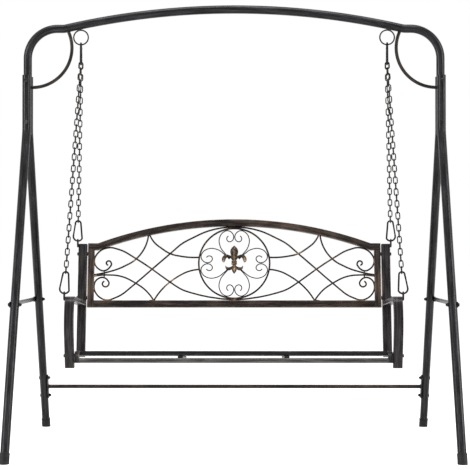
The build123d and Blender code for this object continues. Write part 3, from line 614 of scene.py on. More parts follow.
class Nodes:
    """The node tree of a material or world."""

    def __init__(self, owner):
        owner.use_nodes = True
        self.tree = owner.node_tree
        self.tree.nodes.clear()

    def node(self, kind, inputs, output=0, **settings):
        """Add a node; an input is a number, colour or another node's output."""
        made = self.tree.nodes.new(kind)
        for key, value in settings.items():
            setattr(made, key, value)
        for key, value in inputs.items():
            if isinstance(value, bpy.types.NodeSocket):
                self.tree.links.new(value, made.inputs[key])
            else:
                made.inputs[key].default_value = value
        return made.outputs[output] if made.outputs else None

    def math(self, operation, a, b):
        """A product or other operation of two values."""
        return self.node("ShaderNodeMath", {0: a, 1: b}, operation=operation)

    def total(self, start, *parts, clamp=False):
        """A number plus the product of each pair of values."""
        for a, b in parts:
            start = self.node("ShaderNodeMath", {0: a, 1: b, 2: start}, operation="MULTIPLY_ADD")
        start.node.use_clamp = clamp
        return start

    def noise(self, coordinates, scale, detail=3.0, roughness=0.55, shift=(0, 0, 0)):
        """Noise between about 0.25 and 0.75, its scale in features to the metre along each axis."""
        spot = self.node("ShaderNodeMapping", {"Vector": coordinates, "Scale": scale, "Location": shift})
        inputs = {"Vector": spot, "Scale": 1.0, "Detail": detail, "Roughness": roughness}
        return self.node("ShaderNodeTexNoise", inputs)

    def spread(self, value, low, high, to_low=0.0, to_high=1.0):
        """A value's span stretched smoothly to another."""
        inputs = {0: value, 1: low, 2: high, 3: to_low, 4: to_high}
        return self.node("ShaderNodeMapRange", inputs, interpolation_type="SMOOTHSTEP")

    def mix(self, share, a, b):
        """Two colours mixed."""
        return self.node("ShaderNodeMix", {0: share, 6: a, 7: b}, 2, data_type="RGBA")

    def surface(self, color, roughness, metallic, height, shine):
        """The surface shader, with a bump made from a height."""
        bump = self.node("ShaderNodeBump", {"Strength": 0.3, "Distance": 0.0006, "Height": height})
        shader = self.node("ShaderNodeBsdfPrincipled", {
            "Base Color": color, "Roughness": roughness, "Metallic": metallic, "Normal": bump,
            "Specular IOR Level": shine})
        self.node("ShaderNodeOutputMaterial", {"Surface": shader})


def rgb(color):
    """A colour from screen values of 0 to 255."""
    return tuple(v / 255 / 12.92 if v <= 10 else ((v / 255 + 0.055) / 1.055)**2.4 for v in color) + (1.0,)


def brushed_paint(
    name, slot, dark, light, rubbed, bare, amount, gloss, metal=0.35, shine=0.15, patch=(0.02, 0.62),
):
    """Dark hand-brushed paint: long streaks, cloudy patches, and a rubbed metallic colour where it wears."""
    material = bpy.data.materials.new(name)
    n = Nodes(material)
    grain = n.node("ShaderNodeAttribute", {}, "Vector", attribute_name="grain")
    wear = n.node("ShaderNodeAttribute", {}, 2, attribute_name="rub")
    place = n.node("ShaderNodeTexCoord", {}, "Object")
    broad = n.noise(grain, (120, 120, 8), 4.0, 0.6)
    fine = n.noise(grain, (820, 820, 24), 3.0, 0.6, (3, 1, 7))
    cloud = n.noise(place, (7, 7, 7), 5.0, 0.6)
    blotch = n.noise(place, (38, 38, 22.8), 3.0, 0.6, (5, 2, 9))
    speck = n.noise(place, (420, 420, 420), 2.0, 0.5)
    streak = n.spread(n.total(0.0, (broad, 0.6), (fine, 0.4)), 0.42, 0.64)
    worn = n.spread(n.total(0.0, (blotch, 0.6), (broad, 0.4)), 0.42, 0.66, *patch)
    level = n.total(0.0, (wear, worn), (broad, 0.45), (cloud, 0.55), (fine, 0.34))
    brush = n.spread(level, 0.74 - amount, 1.06 - amount)
    core = n.spread(level, 1.08 - amount * 0.6, 1.42 - amount * 0.6)
    tone = n.mix(streak, rgb(dark), rgb(light))
    tone = n.mix(n.math("MULTIPLY", brush, 0.8), tone, rgb(rubbed))
    tone = n.mix(core, tone, rgb(bare))
    roughness = n.total(gloss, (fine, 0.24), (blotch, 0.16), clamp=True)
    metallic = n.total(metal, (brush, 0.4), clamp=True)
    n.surface(tone, roughness, metallic, n.total(0.0, (fine, 0.6), (speck, 0.4), (broad, 0.5)), shine)
    return material, slot


def moulded_plastic(name, slot, dark, light, scuffed):
    """Fine-grained black plastic with scuffs."""
    material = bpy.data.materials.new(name)
    n = Nodes(material)
    place = n.node("ShaderNodeTexCoord", {}, "Object")
    wear = n.node("ShaderNodeAttribute", {}, 2, attribute_name="rub")
    cloud = n.noise(place, (24, 24, 24), 4.0)
    pebble = n.noise(place, (900, 900, 900), 2.0)
    scuff = n.spread(n.total(0.0, (n.noise(place, (60, 60, 240), 5.0, 0.7), 1.0), (wear, 0.16)), 0.56, 0.74)
    tone = n.mix(n.spread(cloud, 0.35, 0.7), rgb(dark), rgb(light))
    tone = n.mix(n.math("MULTIPLY", scuff, 0.4), tone, rgb(scuffed))
    n.surface(tone, n.total(0.48, (pebble, 0.2)), 0.0, pebble, 0.2)
    return material, slot


stand_paint = brushed_paint(
    "charcoal paint", "stand_paint", (17, 17, 18), (50, 49, 52), (88, 82, 79), (132, 118, 106),
    -0.01, 0.07, shine=0.2)
brace_paint = brushed_paint(
    "rubbed charcoal paint", "stand_paint", (26, 24, 23), (58, 52, 49), (96, 82, 72), (146, 122, 102),
    0.10, 0.10)
bench_paint = brushed_paint(
    "dark bronze paint", "bench_bronze", (26, 24, 25), (60, 57, 57), (88, 80, 75), (138, 120, 100),
    -0.01, 0.11, patch=(0.0, 0.34))
panel_paint = brushed_paint(
    "rubbed bronze paint", "bench_bronze", (28, 24, 23), (62, 54, 50), (96, 82, 72), (142, 120, 98),
    0.11, 0.15, patch=(0.0, 0.30))
stile_paint = brushed_paint(
    "well rubbed bronze paint", "bench_bronze", (28, 25, 24), (66, 57, 52), (104, 89, 77), (152, 129, 104),
    0.14, 0.16, patch=(0.0, 0.30))
seat_paint = brushed_paint(
    "dark seat paint", "bench_bronze", (15, 14, 15), (42, 40, 41), (90, 84, 80), (134, 120, 108),
    -0.02, 0.15, shine=0.22, patch=(0.0, 0.45))
# The front bar's paint is lighter than the seat's own paint. The lighter tones are painted highlight for the
# light along the round bar. Its shine and its rubbed edges are real.
front_paint_with_highlight = brushed_paint(
    "rubbed seat front paint with painted highlight", "bench_bronze", (24, 22, 22), (78, 74, 72), (118, 110, 104), (148, 136, 122),
    0.06, 0.10, shine=0.6, patch=(0.0, 0.45))
scroll_paint = brushed_paint(
    "bronze rubbed bars", "scroll_bronze", (22, 19, 18), (46, 39, 36), (88, 69, 55), (168, 136, 108),
    0.00, 0.22, patch=(0.10, 0.85))
cast_paint = brushed_paint(
    "cast bronze", "casting_bronze", (30, 26, 24), (78, 68, 60), (122, 100, 78), (176, 146, 114),
    -0.04, 0.24, 0.45, patch=(0.30, 0.75))
chain_paint = brushed_paint(
    "chain finish", "chain_steel", (16, 15, 15), (40, 37, 36), (80, 70, 62), (134, 114, 96), 0.00, 0.20)
bolt_paint = brushed_paint(
    "fastener finish", "fastener_steel", (24, 24, 26), (50, 50, 52), (82, 78, 75), (124, 114, 104),
    0.00, 0.22, 0.5)
black_plastic = moulded_plastic("black plastic", "cap_plastic", (15, 15, 16), (27, 27, 28), (66, 64, 63))


def show(name, data):
    """Add an object to the scene."""
    made = bpy.data.objects.new(name, data)
    bpy.context.scene.collection.objects.link(made)
    return made


def piece(name, form, body, finish, *nodes):
    """Make one visible piece from a form."""
    material, slot = finish
    mesh = bpy.data.meshes.new(name)
    mesh.from_pydata([p * MM for p in form.points], [], form.faces)
    rub = mesh.attributes.new("rub", "FLOAT", "POINT")
    rub.data.foreach_set("value", form.rubs)
    grain = mesh.attributes.new("grain", "FLOAT_VECTOR", "CORNER")
    grain.data.foreach_set("vector", [value * MM for corner in form.grains for value in corner])
    mesh.shade_smooth()
    mesh.set_sharp_from_angle(angle=math.radians(36))
    mesh.materials.append(material)
    made = show(name, mesh)
    made.modifiers.new("even shading", "WEIGHTED_NORMAL").keep_sharp = True
    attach(made, body)
    if nodes:
        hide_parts(*nodes)


# Stand

def leg_y(height):
    """How far the slanted part of a leg is from the middle at a height."""
    return foot_y - height * leg_slope


def arch_form():
    """The long top tube."""
    start = Matrix.Rotation(-arch_angle, 3, "Y") @ Vector((0, 0, arch_radius))
    path = arc(arch_center, start, Y, 2 * math.degrees(arch_angle), 0.8)
    return sweep(path, Y, round_section(tube, tube_sides), mouth(arch_mouth), mouth(arch_mouth))


def corner_form():
    """The right-hand corner tube, with the step where it enters the arch."""
    end = Vector((arch_end_x, 0, arch_top - arch_rise))
    kink = end + arch_heading * kink_offset
    corners = [end + arch_heading * gap, kink, (stand_x, 0, kink.z), (stand_x, 0, corner_bottom)]
    path = rounded(corners, [kink_radius, corner_radius], 3.5)
    form = sweep(path, Y, round_section(tube, tube_sides), soft(0.6, 2), mouth(mouth_depth))
    inner = round_section(tube - 2 * tube_wall - spigot_play, tube_sides)
    return form.add(straight(end - arch_heading * spigot_start, end + arch_heading, Y, inner))


def leg_form(side):
    """A right-hand leg: upright beside the corner tube, then slanting out to its foot."""
    corners = [(leg_y_top, leg_top), (leg_y_top, leg_bend), (leg_y(leg_end), leg_end)]
    path = rounded([(stand_x, side * y, z) for y, z in corners], [leg_bend_radius], 2.0)
    return sweep(path, X, round_section(tube, tube_sides), mouth(mouth_depth))


def foot_form(side):
    """The plastic sleeve on a foot, level underneath."""
    up = Vector((0, -side * leg_slope, 1)).normalized()
    across = up.cross(X)
    foot = Vector((stand_x, side * foot_y, 0))
    rows = [(0, level, change) for level, change in cap_sole]
    rows += [(cap_height - drop, None, change) for drop, change in cap_rim]
    rings = []
    for height, level, change in rows:
        flats = circle(cap_radius + change, tube_sides)
        spots = [foot + up * height + X * a - across * b for a, b in flats]
        if level is not None:
            spots = [spot + up * ((level - spot.z) / up.z) for spot in spots]
        rings.append((spots, flats, [0.6 if height == 0 else 0.2] * tube_sides, height))
    return Form().skin(rings)


def brace_form():
    """The curved rod inside the right-hand corner."""
    low, high = brace_angles
    start = Matrix.Rotation(math.radians(-low), 3, "Y") @ Vector((brace_radius, 0, 0))
    path = arc((brace_center[0], 0, brace_center[1]), start, -Y, high - low, 3.0)
    return sweep(path, Y, round_section(brace_rod, 20))


def ring_form():
    """The right-hand hanging ring and the weld that holds it under the arch."""
    center = Vector((ring_x, 0, pivot_z + ring_radius))
    path = arc(center, (0, 0, -ring_radius), Y, 360, 6)[:-1]
    outward = (center - arch_center).normalized()
    weld = blob(center + outward * (ring_radius + 1.4), ring_weld, turned=basis(Y.cross(outward), Y, outward))
    return sweep(path, Y, round_section(ring_wire, 16), closed=True).add(weld)


def squashed_ring(spot, half_x, half_z, power):
    """A ring between a circle and a rounded bar, across the Y axis."""
    flats = []
    for c, s in circle(1.0, 28):
        a, b = math.copysign(abs(c)**(2 / power), c), math.copysign(abs(s)**(2 / power), s)
        flats.append((a * half_x, b * half_z))
    return [Vector(spot) + X * a - Z * b for a, b in flats], flats


def spreader_form():
    """The right-hand tie between the legs, a tube pressed flat at both ends."""
    x = stand_x + tube / 2 + tab_thickness / 2
    reach = leg_y(spreader_height)
    taper = reach - tab_width / 2 - tab_taper
    stations = [(taper * k / 10, 0.0, 1.0) for k in range(11)]
    stations += [(taper + tab_taper * k / 8, k / 8, 1.0) for k in range(1, 9)]
    stations += [(reach + tab_width / 2 * s, 1.0, c) for c, s in bow(1.0, 0, 1, 8)[:-1]]
    stations += [(reach + tab_width / 2 - tab_tip, 1.0, 0.12)]
    rings = []
    for y, press, share in [(-y, p, s) for y, p, s in reversed(stations[1:])] + stations:
        ease = press * press * (3 - 2 * press)
        half_x = spreader_rod / 2 + (tab_thickness - spreader_rod) / 2 * ease
        half_z = max((spreader_rod / 2 + (tab_width - spreader_rod) / 2 * ease) * share, 0.8)
        points, flats = squashed_ring((x, y, spreader_height), half_x, half_z, 2 + tab_corner_power * ease)
        rings.append((points, flats, [0.5 * ease] * len(points), y))
    return Form().skin(rings)


rear_up = Vector((0, -leg_slope, 1)).normalized()
crossbar_spot = Vector((0, leg_y(crossbar_height), crossbar_height))


def strap_form():
    """The plate that carries the crossbar on the right-hand rear leg."""
    place = basis(rear_up, rear_up.cross(X), -X, crossbar_spot + X * (stand_x - tube / 2))
    return plate(capsule(strap_length, strap_width), -strap_bed, strap_thickness, place, 0.7)


def crossbar_form():
    """The rear crossbar with a weld bead at each strap."""
    half = X * (stand_x - tube / 2 - strap_thickness)
    section = round_section(crossbar_rod)
    return straight(crossbar_spot - half, crossbar_spot + half, Y, section, flare(crossbar_weld), 60)


def washer(saddle):
    """A washer above the XY plane, with a collar below it that beds on a tube."""
    rim, top = washer_radius - 0.4, washer_thickness
    outline = [(rim, -0.1), (washer_radius, 0.3), (washer_radius, top - 0.3), (rim, top), (5.0, top)]
    return lathe([(collar_radius, -saddle), (collar_radius, 0.1)]).add(lathe(outline, 28, 0.5))


def hexagon(height, top):
    """A hexagon on a washer, its top edge turned off by rings of (depth, inset)."""
    low = (0, 0, washer_thickness - 0.1)
    return sweep([low, (0, 0, height)], X, hex_section(bolt_head_width), None, top)


def bolt_head(saddle=3.0):
    """A hexagon head on a washer."""
    return washer(saddle).add(hexagon(bolt_head_height, [(0, 1.9), (0.35, 0.7), (1.1, 0)]))


def cap_nut():
    """A domed cap nut on a washer."""
    radius = bolt_head_width / 2 - nut_dome_inset
    crown = [(radius, nut_height - 0.4)] + dome(radius, nut_height, nut_dome_height, 7)
    nut = hexagon(nut_height, [(0, 1.4), (0.35, 0.6), (1.0, 0)])
    return washer(3.0).add(nut).add(lathe(crown, 24, 0.4))


def low_head():
    """A low mushroom head above the XY plane, with a collar below it that beds on a tube."""
    foot = [(collar_radius, -3.0), (collar_radius, -low_head_bed), (washer_radius, -low_head_bed)]
    return lathe(foot + dome(washer_radius, 0.0, low_head_height, 8), 28, 0.4)


def facing(origin, out):
    """A place whose Z axis points out."""
    side = Z.cross(out).normalized()
    return basis(side, out.cross(side), out, origin)


def fasteners(spots, head_form):
    """Heads and nuts of right-hand bolts given as (head place, nut place), and their mirror images."""
    form = Form()
    for head, nut in spots:
        form.add(head_form, head).add(cap_nut(), nut)
    return both(form)


edge_y = leg_y_top + tube / 2
outer_x, inner_x = stand_x + tube / 2, stand_x - tube / 2
spreader_ys = [side * leg_y(spreader_height) for side in (-1, 1)]
strap_points = [crossbar_spot + rear_up * (side * strap_bolt_spacing / 2) for side in (-1, 1)]
joint_spots = [(facing((stand_x, -edge_y, z), -Y), facing((stand_x, edge_y, z), Y)) for z in joint_heights]
spreader_spots = [
    (facing((outer_x + tab_thickness, y, spreader_height), X), facing((inner_x, y, spreader_height), -X))
    for y in spreader_ys]
strap_spots = [
    (facing((outer_x, p.y, p.z), X), facing((inner_x - strap_thickness, p.y, p.z), -X)) for p in strap_points]

piece("arch", arch_form(), "stand", stand_paint, "top_arch_tube")
piece("corners", both(corner_form()), "stand", stand_paint, "corner_tubes")
piece("braces", both(brace_form()), "stand", brace_paint, "corner_braces")
piece("rings", both(ring_form()), "stand", brace_paint, "hanging_rings")
for depth, side in (("front", -1), ("rear", 1)):
    for hand, mirrored in hands:
        leg = Form().add(leg_form(side), mirrored=mirrored)
        piece(f"{depth}_leg_tube_{hand}", leg, "stand", stand_paint, f"{depth}_leg_{hand}")
piece("foot_sleeves", both(foot_form(-1).add(foot_form(1))), "stand", black_plastic, "foot_caps")
for hand, mirrored in hands:
    spreader = Form().add(spreader_form(), mirrored=mirrored)
    piece(f"spreader_{hand}", spreader, "stand", stand_paint, f"side_spreader_{hand}")
piece("crossbar", crossbar_form(), "stand", brace_paint, "rear_crossbar")
piece("straps", both(strap_form()), "stand", stand_paint, "crossbar_straps")
for name, spots, head in (
    ("leg_joint", joint_spots, bolt_head()), ("spreader", spreader_spots, bolt_head()),
    ("crossbar", strap_spots, low_head()),
):
    piece(f"{name}_fasteners", fasteners(spots, head), "stand", bolt_paint, f"{name}_bolts", f"{name}_nuts")


# Bench frame

def post_spot(height):
    """A point in the middle of the right-hand back post."""
    return Vector((side_middle, post_y(height), height))


def post_form():
    """The right-hand back post."""
    section = box_section(side_width, side_depth, edge)
    return straight(post_spot(post_low), post_spot(post_high), X, section, soft(0.7, 2), 30)


def plug_form():
    """The low plastic plug in the top of the right-hand back post."""
    top, out = post_spot(post_high), Vector((0, recline_slope, 1)).normalized()
    section = box_section(side_width - plug_play, side_depth - plug_play, plug_edge, 0.4)
    return sweep([top - out, top + out * plug_rise], X, section, None, soft(1.2))


def arm_rub(spot):
    """Where hands rub the armrest: its top and the front of its bend."""
    return 0.22 * max(0.0, min(1.0, (spot.z - 110) / 90))


def armrest_form():
    """The right-hand armrest and front upright, bent from one tube."""
    top = arm_top - side_depth / 2
    corners = [(post_y(top) - side_depth / 2 + 1, top), (arm_front_y, top), (bow_y, bow_z), upright_foot]
    path = rounded([(side_middle, y, z) for y, z in corners], [arm_radius, bow_radius], 4.0)
    section = box_section(side_width, side_depth, arm_edge)
    return sweep(path, X, section, None, soft(0.7, 2), step=25, rub=arm_rub)


def seat_rail_form():
    """The right-hand seat rail, turned down at the front."""
    x, level = panel_x - rail_width / 2, -seat_thickness / 2
    corners = [(x, seat_rear_y, level), (x, seat_front_y, level), (x, seat_front_y, -seat_drop)]
    section = box_section(rail_width, seat_thickness, seat_rail_edge)
    return sweep(rounded(corners, [seat_front_radius], 5.0), X, section, soft(0.8, 2), soft(0.8, 2), step=30)


def slats_form():
    """The seat's slats, across between the rails."""
    form = Form()
    section = box_section(slat_width, seat_thickness, edge)
    level = -seat_thickness / 2
    for index in range(slat_count):
        y = slat_rows[0] + (slat_rows[1] - slat_rows[0]) * index / (slat_count - 1)
        form.add(straight((-slat_half, y, level), (slat_half, y, level), Y, section, None, 50))
    return form


def front_bar_form():
    """The round bar low at the seat's front."""
    middle, half = Vector((0, seat_front_y, front_rod_z)), X * (slat_half + gap)
    return straight(middle - half, middle + half, Y, round_section(front_rod), flare(front_rod_weld), 50)


def rib_form():
    """The right-hand rib under the slats."""
    level = -seat_thickness - gap - rib_height / 2
    front = (rib_x, seat_front_y + front_rod / 2 - 1, level)
    return straight((rib_x, rib_rear_y, level), front, X, box_section(rib_width, rib_height, rib_edge))


def top_rail_form():
    """The arched top rail with level ends, its sections upright."""
    knee = panel_x - level_end
    radius = (knee**2 + top_rail_rise**2) / (2 * top_rail_rise)
    middle = half_opening + rail_height / 2
    section = box_section(rail_height, panel_depth, edge)
    ends = [(-stile_outer, 1.2), (-stile_outer + 0.4, 0.4), (-stile_outer + 1.2, 0)]
    level = [-stile_outer + (level_end - panel_gap) * k / 4 for k in range(1, 4)]
    curved = [-knee + 2 * knee * k / 44 for k in range(45)]
    between = level + curved + [-x for x in reversed(level)]
    rings = []
    for x, inset in ends + [(x, 0) for x in between] + [(-x, inset) for x, inset in reversed(ends)]:
        height = middle - radius + math.sqrt(radius**2 - min(abs(x), knee)**2)
        ring = section(inset)
        points = [Vector((x, height + a, -b)) for a, b, _ in ring]
        rings.append((points, [(a, b) for a, b, _ in ring], [min(1, r + 0.12) for _, _, r in ring], x))
    return Form().skin(rings)


def bottom_rail_form():
    """The straight bottom rail between the stiles."""
    half, level = stile_outer - stile_width, -half_opening - rail_height / 2
    return straight((-half, level, 0), (half, level, 0), Z, box_section(panel_depth, rail_height, edge))


def stile_form():
    """The right-hand stile."""
    x = stile_outer - stile_width / 2
    low, high = (x, -half_opening - rail_height, 0), (x, half_opening - top_rail_rise + 0.5, 0)
    return straight(low, high, X, box_section(stile_width, panel_depth, edge), soft(0.7, 2), 30)


def bench_fasteners_form():
    """The bolt heads of the right-hand side frame, and spacers between the back panel and the post."""
    level = -seat_thickness / 2
    seat = [(post_y(level), level), (upright_foot[0] - rail_width / 3, -seat_thickness)]
    back = [(post_y(z), z) for z in (post_high - top_bolt_drop, panel_z - half_opening + low_bolt_rise)]
    form = Form()
    for y, z in seat + back:
        form.add(bolt_head(0.5), bench_place @ facing((side_outer, y, z), X))
    spacer = lathe([(spacer_radius, -0.3), (spacer_radius, panel_gap + 2 * gap)], 28, 0.3)
    for y, z in back:
        form.add(spacer, bench_place @ facing((stile_outer, y, z), X))
    return form


def loop_form(y, top):
    """A wire loop on the right-hand side frame, with the weld that holds it."""
    x = side_outer + gap + loop_wire / 2
    middle = Vector((x, y, top - loop_height / 2))
    half, radius = (loop_height - loop_width) / 2, (loop_width - loop_wire) / 2
    path = arc(middle + Z * half, (0, radius, 0), X, 180, 9)
    path += arc(middle - Z * half, (0, -radius, 0), X, 180, 9)
    form = sweep(path, X, round_section(loop_wire, 16), closed=True, step=12)
    for side in (-1, 1):
        form.add(blob((x - 2.2, y + side * radius, top - loop_height + loop_weld_rise), loop_weld, 0.5))
    return form


loop_tops = (
    (front_loop_y, arm_top + front_loop_rise),
    (post_y(post_high) - rear_loop_setback, post_high + rear_loop_rise),
)

for hand, mirrored in hands:
    for name, form, finish, node in (
        ("post", post_form(), bench_paint, "back_post"), ("arm", armrest_form(), bench_paint, "armrest"),
        ("side_rail", seat_rail_form(), seat_paint, "seat_rail"),
    ):
        piece(f"{name}_{hand}", placed(form, bench_place, mirrored), "swing", finish, f"{node}_{hand}")
    stile = placed(stile_form(), panel_place, mirrored)
    piece(f"stile_{hand}", stile, "swing", stile_paint, f"back_stile_{hand}")
piece("slats", placed(slats_form(), bench_place), "swing", seat_paint, "seat_slats")
piece("front_bar", placed(front_bar_form(), bench_place), "swing", front_paint_with_highlight, "seat_front_bar")
piece("ribs", both(placed(rib_form(), bench_place)), "swing", seat_paint, "seat_ribs")
piece("top_rail", placed(top_rail_form(), panel_place), "swing", panel_paint, "back_top_rail")
piece("bottom_rail", placed(bottom_rail_form(), panel_place), "swing", panel_paint, "back_bottom_rail")
piece("bench_fasteners", both(bench_fasteners_form()), "swing", bolt_paint, "bench_bolts")
loops = Form()
for y, top in loop_tops:
    loops.add(loop_form(y, top), bench_place)
piece("loops", both(loops), "swing", chain_paint, "hanger_loops")
piece("post_plugs", both(placed(plug_form(), bench_place)), "swing", black_plastic)


# Back panel

def panel_spot(x, z, depth=0.0):
    """A point of the panel's plane from shares of its opening."""
    return Vector((x * scroll_half_width, z * scroll_half_height, depth))


def scroll_rub(spot):
    """How rubbed a bar is, from its distance to the places where bars touch."""
    near = min((panel_spot(x, z, spot.z) - spot).length_squared for x, z in touch_shares)
    return 0.12 + 0.9 * math.exp(-near / 420)


def medallion_rub(spot):
    """The ring is rubbed where it meets the rails."""
    return 0.15 + 0.8 * math.exp(-spot.x**2 / 900)


def bar_form(shares, layer, start=None):
    """A right-hand scroll bar in the front or rear layer."""
    depth = Z * (layer * (scroll_bar + gap) / 2)
    path = [p + depth for p in smooth_path(shares, scroll_half_width, scroll_half_height)]
    section = box_section(scroll_bar, scroll_bar_seen, scroll_edge, 0.35)
    return sweep(path, Z, section, start, step=12, rub=scroll_rub)


def diamond_form(upper, lower, layer, welds):
    """A right-hand pair of diamond bars and their weld beads."""
    form = placed(bar_form(upper, layer), panel_place).add(bar_form(lower, -layer), panel_place)
    for x, z, radii in welds:
        form.add(blob(panel_spot(x, z), radii, 0.5), panel_place)
    return form


def medallion_form():
    """The medallion's ring, welded to the rails above and below."""
    path = arc((0, 0, 0), (medallion_radius, 0, 0), Z, 360, 4)[:-1]
    section = box_section(ring_bar_seen, ring_bar_seen, ring_edge, 0.35)
    form = sweep(path, Z, section, closed=True, rub=medallion_rub)
    for side in (-1, 1):
        form.add(blob((0, side * (medallion_radius + 3.5), 0), medallion_weld, 0.95))
    return form


def hearts_form():
    """The medallion's four hearts of two scrolls each."""
    path = smooth_path(heart, heart_reach, heart_reach)
    scroll = sweep(path, Z, round_section(heart_wire_seen, 16), None, soft(1.6), step=8)
    form = Form()
    for quarter in range(4):
        turn = Matrix.Rotation(math.pi / 2 * quarter, 4, "Z")
        for _, mirrored in hands:
            form.add(Form().add(scroll, mirrored=mirrored), panel_place @ turn)
    return form


for name, shares, layer in (("upper_scroll", upper_scroll, 1), ("lower_scroll", lower_scroll, -1)):
    bars = both(placed(bar_form(shares, layer, soft(1.5)), panel_place))
    piece(f"{name}_pair", bars, "swing", scroll_paint, f"{name}_bars")
for name, upper, lower, layer, welds in (
    ("outer_diamond", outer_upper, outer_lower, -1, outer_welds),
    ("inner_diamond", inner_upper, inner_lower, 1, inner_welds),
):
    bars = both(diamond_form(upper, lower, layer, welds))
    piece(f"{name}_set", bars, "swing", scroll_paint, f"{name}_bars")
piece("medallion", placed(medallion_form(), panel_place), "swing", scroll_paint, "medallion_ring")
piece("hearts", hearts_form(), "swing", scroll_paint, "medallion_hearts")


# Fleur-de-lis

def curve(points, count):
    """A smooth curve through points, evenly sampled."""
    spots = [Vector((x * fleur_half_width, z * (fleur_top if z > 0 else fleur_bottom), 0)) for x, z in points]
    dense = []
    for a, b, c, d in zip(spots[:1] + spots, spots, spots[1:], spots[2:] + spots[-1:]):
        for t in [k / 12 for k in range(12)]:
            swerve = (2 * a - 5 * b + 4 * c - d) * t**2 + (3 * b - a - 3 * c + d) * t**3
            dense.append(0.5 * (2 * b + (c - a) * t + swerve))
    dense.append(spots[-1])
    marks = [0.0]
    for a, b in zip(dense, dense[1:]):
        marks.append(marks[-1] + (b - a).length)
    result = []
    for goal in [marks[-1] * k / (count - 1) for k in range(count)]:
        index = min(max(bisect.bisect_left(marks, goal) - 1, 0), len(marks) - 2)
        share = (goal - marks[index]) / (marks[index + 1] - marks[index])
        result.append(dense[index].lerp(dense[index + 1], share))
    return result


def leaf(left, right, height, ridge, base, shift, rise, count=30, across=12):
    """A sculpted leaf between two edge curves, domed with a ridge, flat behind."""
    rings = []
    for index, (a, b) in enumerate(zip(curve(left, count), curve(right, count))):
        share = index / (count - 1)
        swell = min(1.0, (b - a).length / 14)
        lift = rise(share)
        points, rubs = [], []
        for t in [k / across for k in range(across + 1)]:
            side = abs(2 * t - 1)
            crown = math.sqrt(max(0.0, 1 - side**2.4))
            crest = math.exp(-(side / 0.16)**2) * ridge - math.exp(-((side - 0.42) / 0.2)**2) * ridge * 0.5
            z = base + lift + 0.8 + (height * crown + crest * min(1.0, crown * 1.6)) * swell
            points.append(a.lerp(b, t) + Z * z)
            wear = shift(share) + 0.4 * math.exp(-(side / 0.3)**2) + (0.3 if side > 0.85 else 0)
            rubs.append(max(0.0, min(1.0, wear)))
        back = [a.lerp(b, k / across) + Z * (base + lift * 0.6) for k in range(across, -1, -1)]
        points += back
        rings.append((points, [(p.x, p.y) for p in points], rubs + [0.2] * len(back), share * 60))
    return Form().skin(rings)


def flipped(shares):
    """The same edge on the left."""
    return [(-x, z) for x, z in shares]


def half_wave(share):
    """A rise and fall from one end of a leaf to the other."""
    return math.sin(math.pi * share)


def fleur_form():
    """The cast fleur-de-lis: a petal, a point below, side petals, lower curls and a collar."""
    base = heart_wire / 2 + gap
    form = leaf(
        flipped(petal), petal, 5.6, 1.6, base,
        lambda s: 0.42 - 0.20 * half_wave(s), lambda s: 1.2 * half_wave(s))
    form.add(leaf(
        point, flipped(point), 5.2, 1.4, base, lambda s: 0.55 - 0.2 * s, lambda s: 0.8 * half_wave(s)))
    for left, right, height in ((side_outer_edge, side_inner, 4.6), (tail_inner, tail_outer, 4.2)):
        half = leaf(left, right, height, 1.1, base, lambda s: 0.8 * s * s - 0.15, lambda s: 1.6 * s * s)
        form.add(half).add(half, mirrored=True)
    for z, half, thick, deep in collar:
        section = box_section(2 * deep, 2 * thick, collar_edge, 0.5)
        low, high = (-half, z, base + collar_depth), (half, z, base + collar_depth)
        form.add(straight(low, high, Z, section, soft(1.8), 6, lambda p: 0.6))
    return form


piece("fleur", placed(fleur_form(), panel_place), "swing", cast_paint, "fleur_de_lis")


# Snap hooks, in their own plane: the wide end's middle is at the origin and the gate is on +X

wide_center = Vector((0, hook_wide_radius, 0))
small_center = Vector((0, hook_span - hook_small_radius, 0))
hook_angle = math.asin((hook_wide_radius - hook_small_radius) / (small_center - wide_center).length)
hook_out = Vector((math.cos(hook_angle), math.sin(hook_angle), 0))
hook_low = wide_center + hook_out * hook_wide_radius
hook_high = small_center + hook_out * hook_small_radius
hook_down = (hook_low - hook_high).normalized()
hook_across = Z.cross(hook_down)
hinge = hook_high + hook_down * hinge_drop


def hook_rub(spot):
    """A hook is bright where it bears at its two ends."""
    return 0.15 + 0.7 * math.exp(-(spot.y / 9)**2) + 0.7 * math.exp(-((hook_span - spot.y) / 7)**2)


def hook_form():
    """The bent wire of a snap hook with its hinge tongue."""
    turn = 180 + 2 * math.degrees(hook_angle)
    path = [hook_low - hook_down * hook_nose]
    path += arc(wide_center, hook_out * hook_wide_radius, Z, turn - 360, 6)
    path += arc(small_center, Vector((-hook_out.x, hook_out.y, 0)) * hook_small_radius, Z, -turn, 8)
    path += [hook_high + hook_down * 3.0]
    form = sweep(path, Z, round_section(hook_wire, 20), soft(0.9), soft(1.6), step=9, rub=hook_rub)
    place = basis(hook_down, hook_across, Z, hook_high + hook_down * hinge_drop / 2)
    back = -hinge_drop / 2 - 1
    tongue = bow(tongue_radius, -1, 1, 8, hinge_drop / 2)
    tongue = [(back, -tongue_radius)] + tongue + [(back, tongue_radius)]
    return form.add(plate(tongue, -tongue_thickness / 2, tongue_thickness / 2, place, 0.3))


def gate_form():
    """A hook's gate: two ears round the tongue and a bar down to the nose."""
    tip = hook_low - hook_down * (hook_nose + hook_tip_gap)
    place = basis(hook_down, hook_across, Z, hinge)
    half, root = gate_width / 2, gate_width / 2 + gate_root
    section = box_section(hook_wire, gate_width, edge, 0.3)
    form = placed(straight((root, 0, 0), ((tip - hinge).length, 0, 0), Z, section, soft(0.9), 8), place)
    inner = tongue_thickness / 2 + gap
    ear = bow(half, 1, 3, 10) + [(root + 2, -half), (root + 2, half)]
    for low, high in ((inner, hook_wire / 2), (-hook_wire / 2, -inner)):
        form.add(plate(ear, low, high, place, 0.45))
    return form


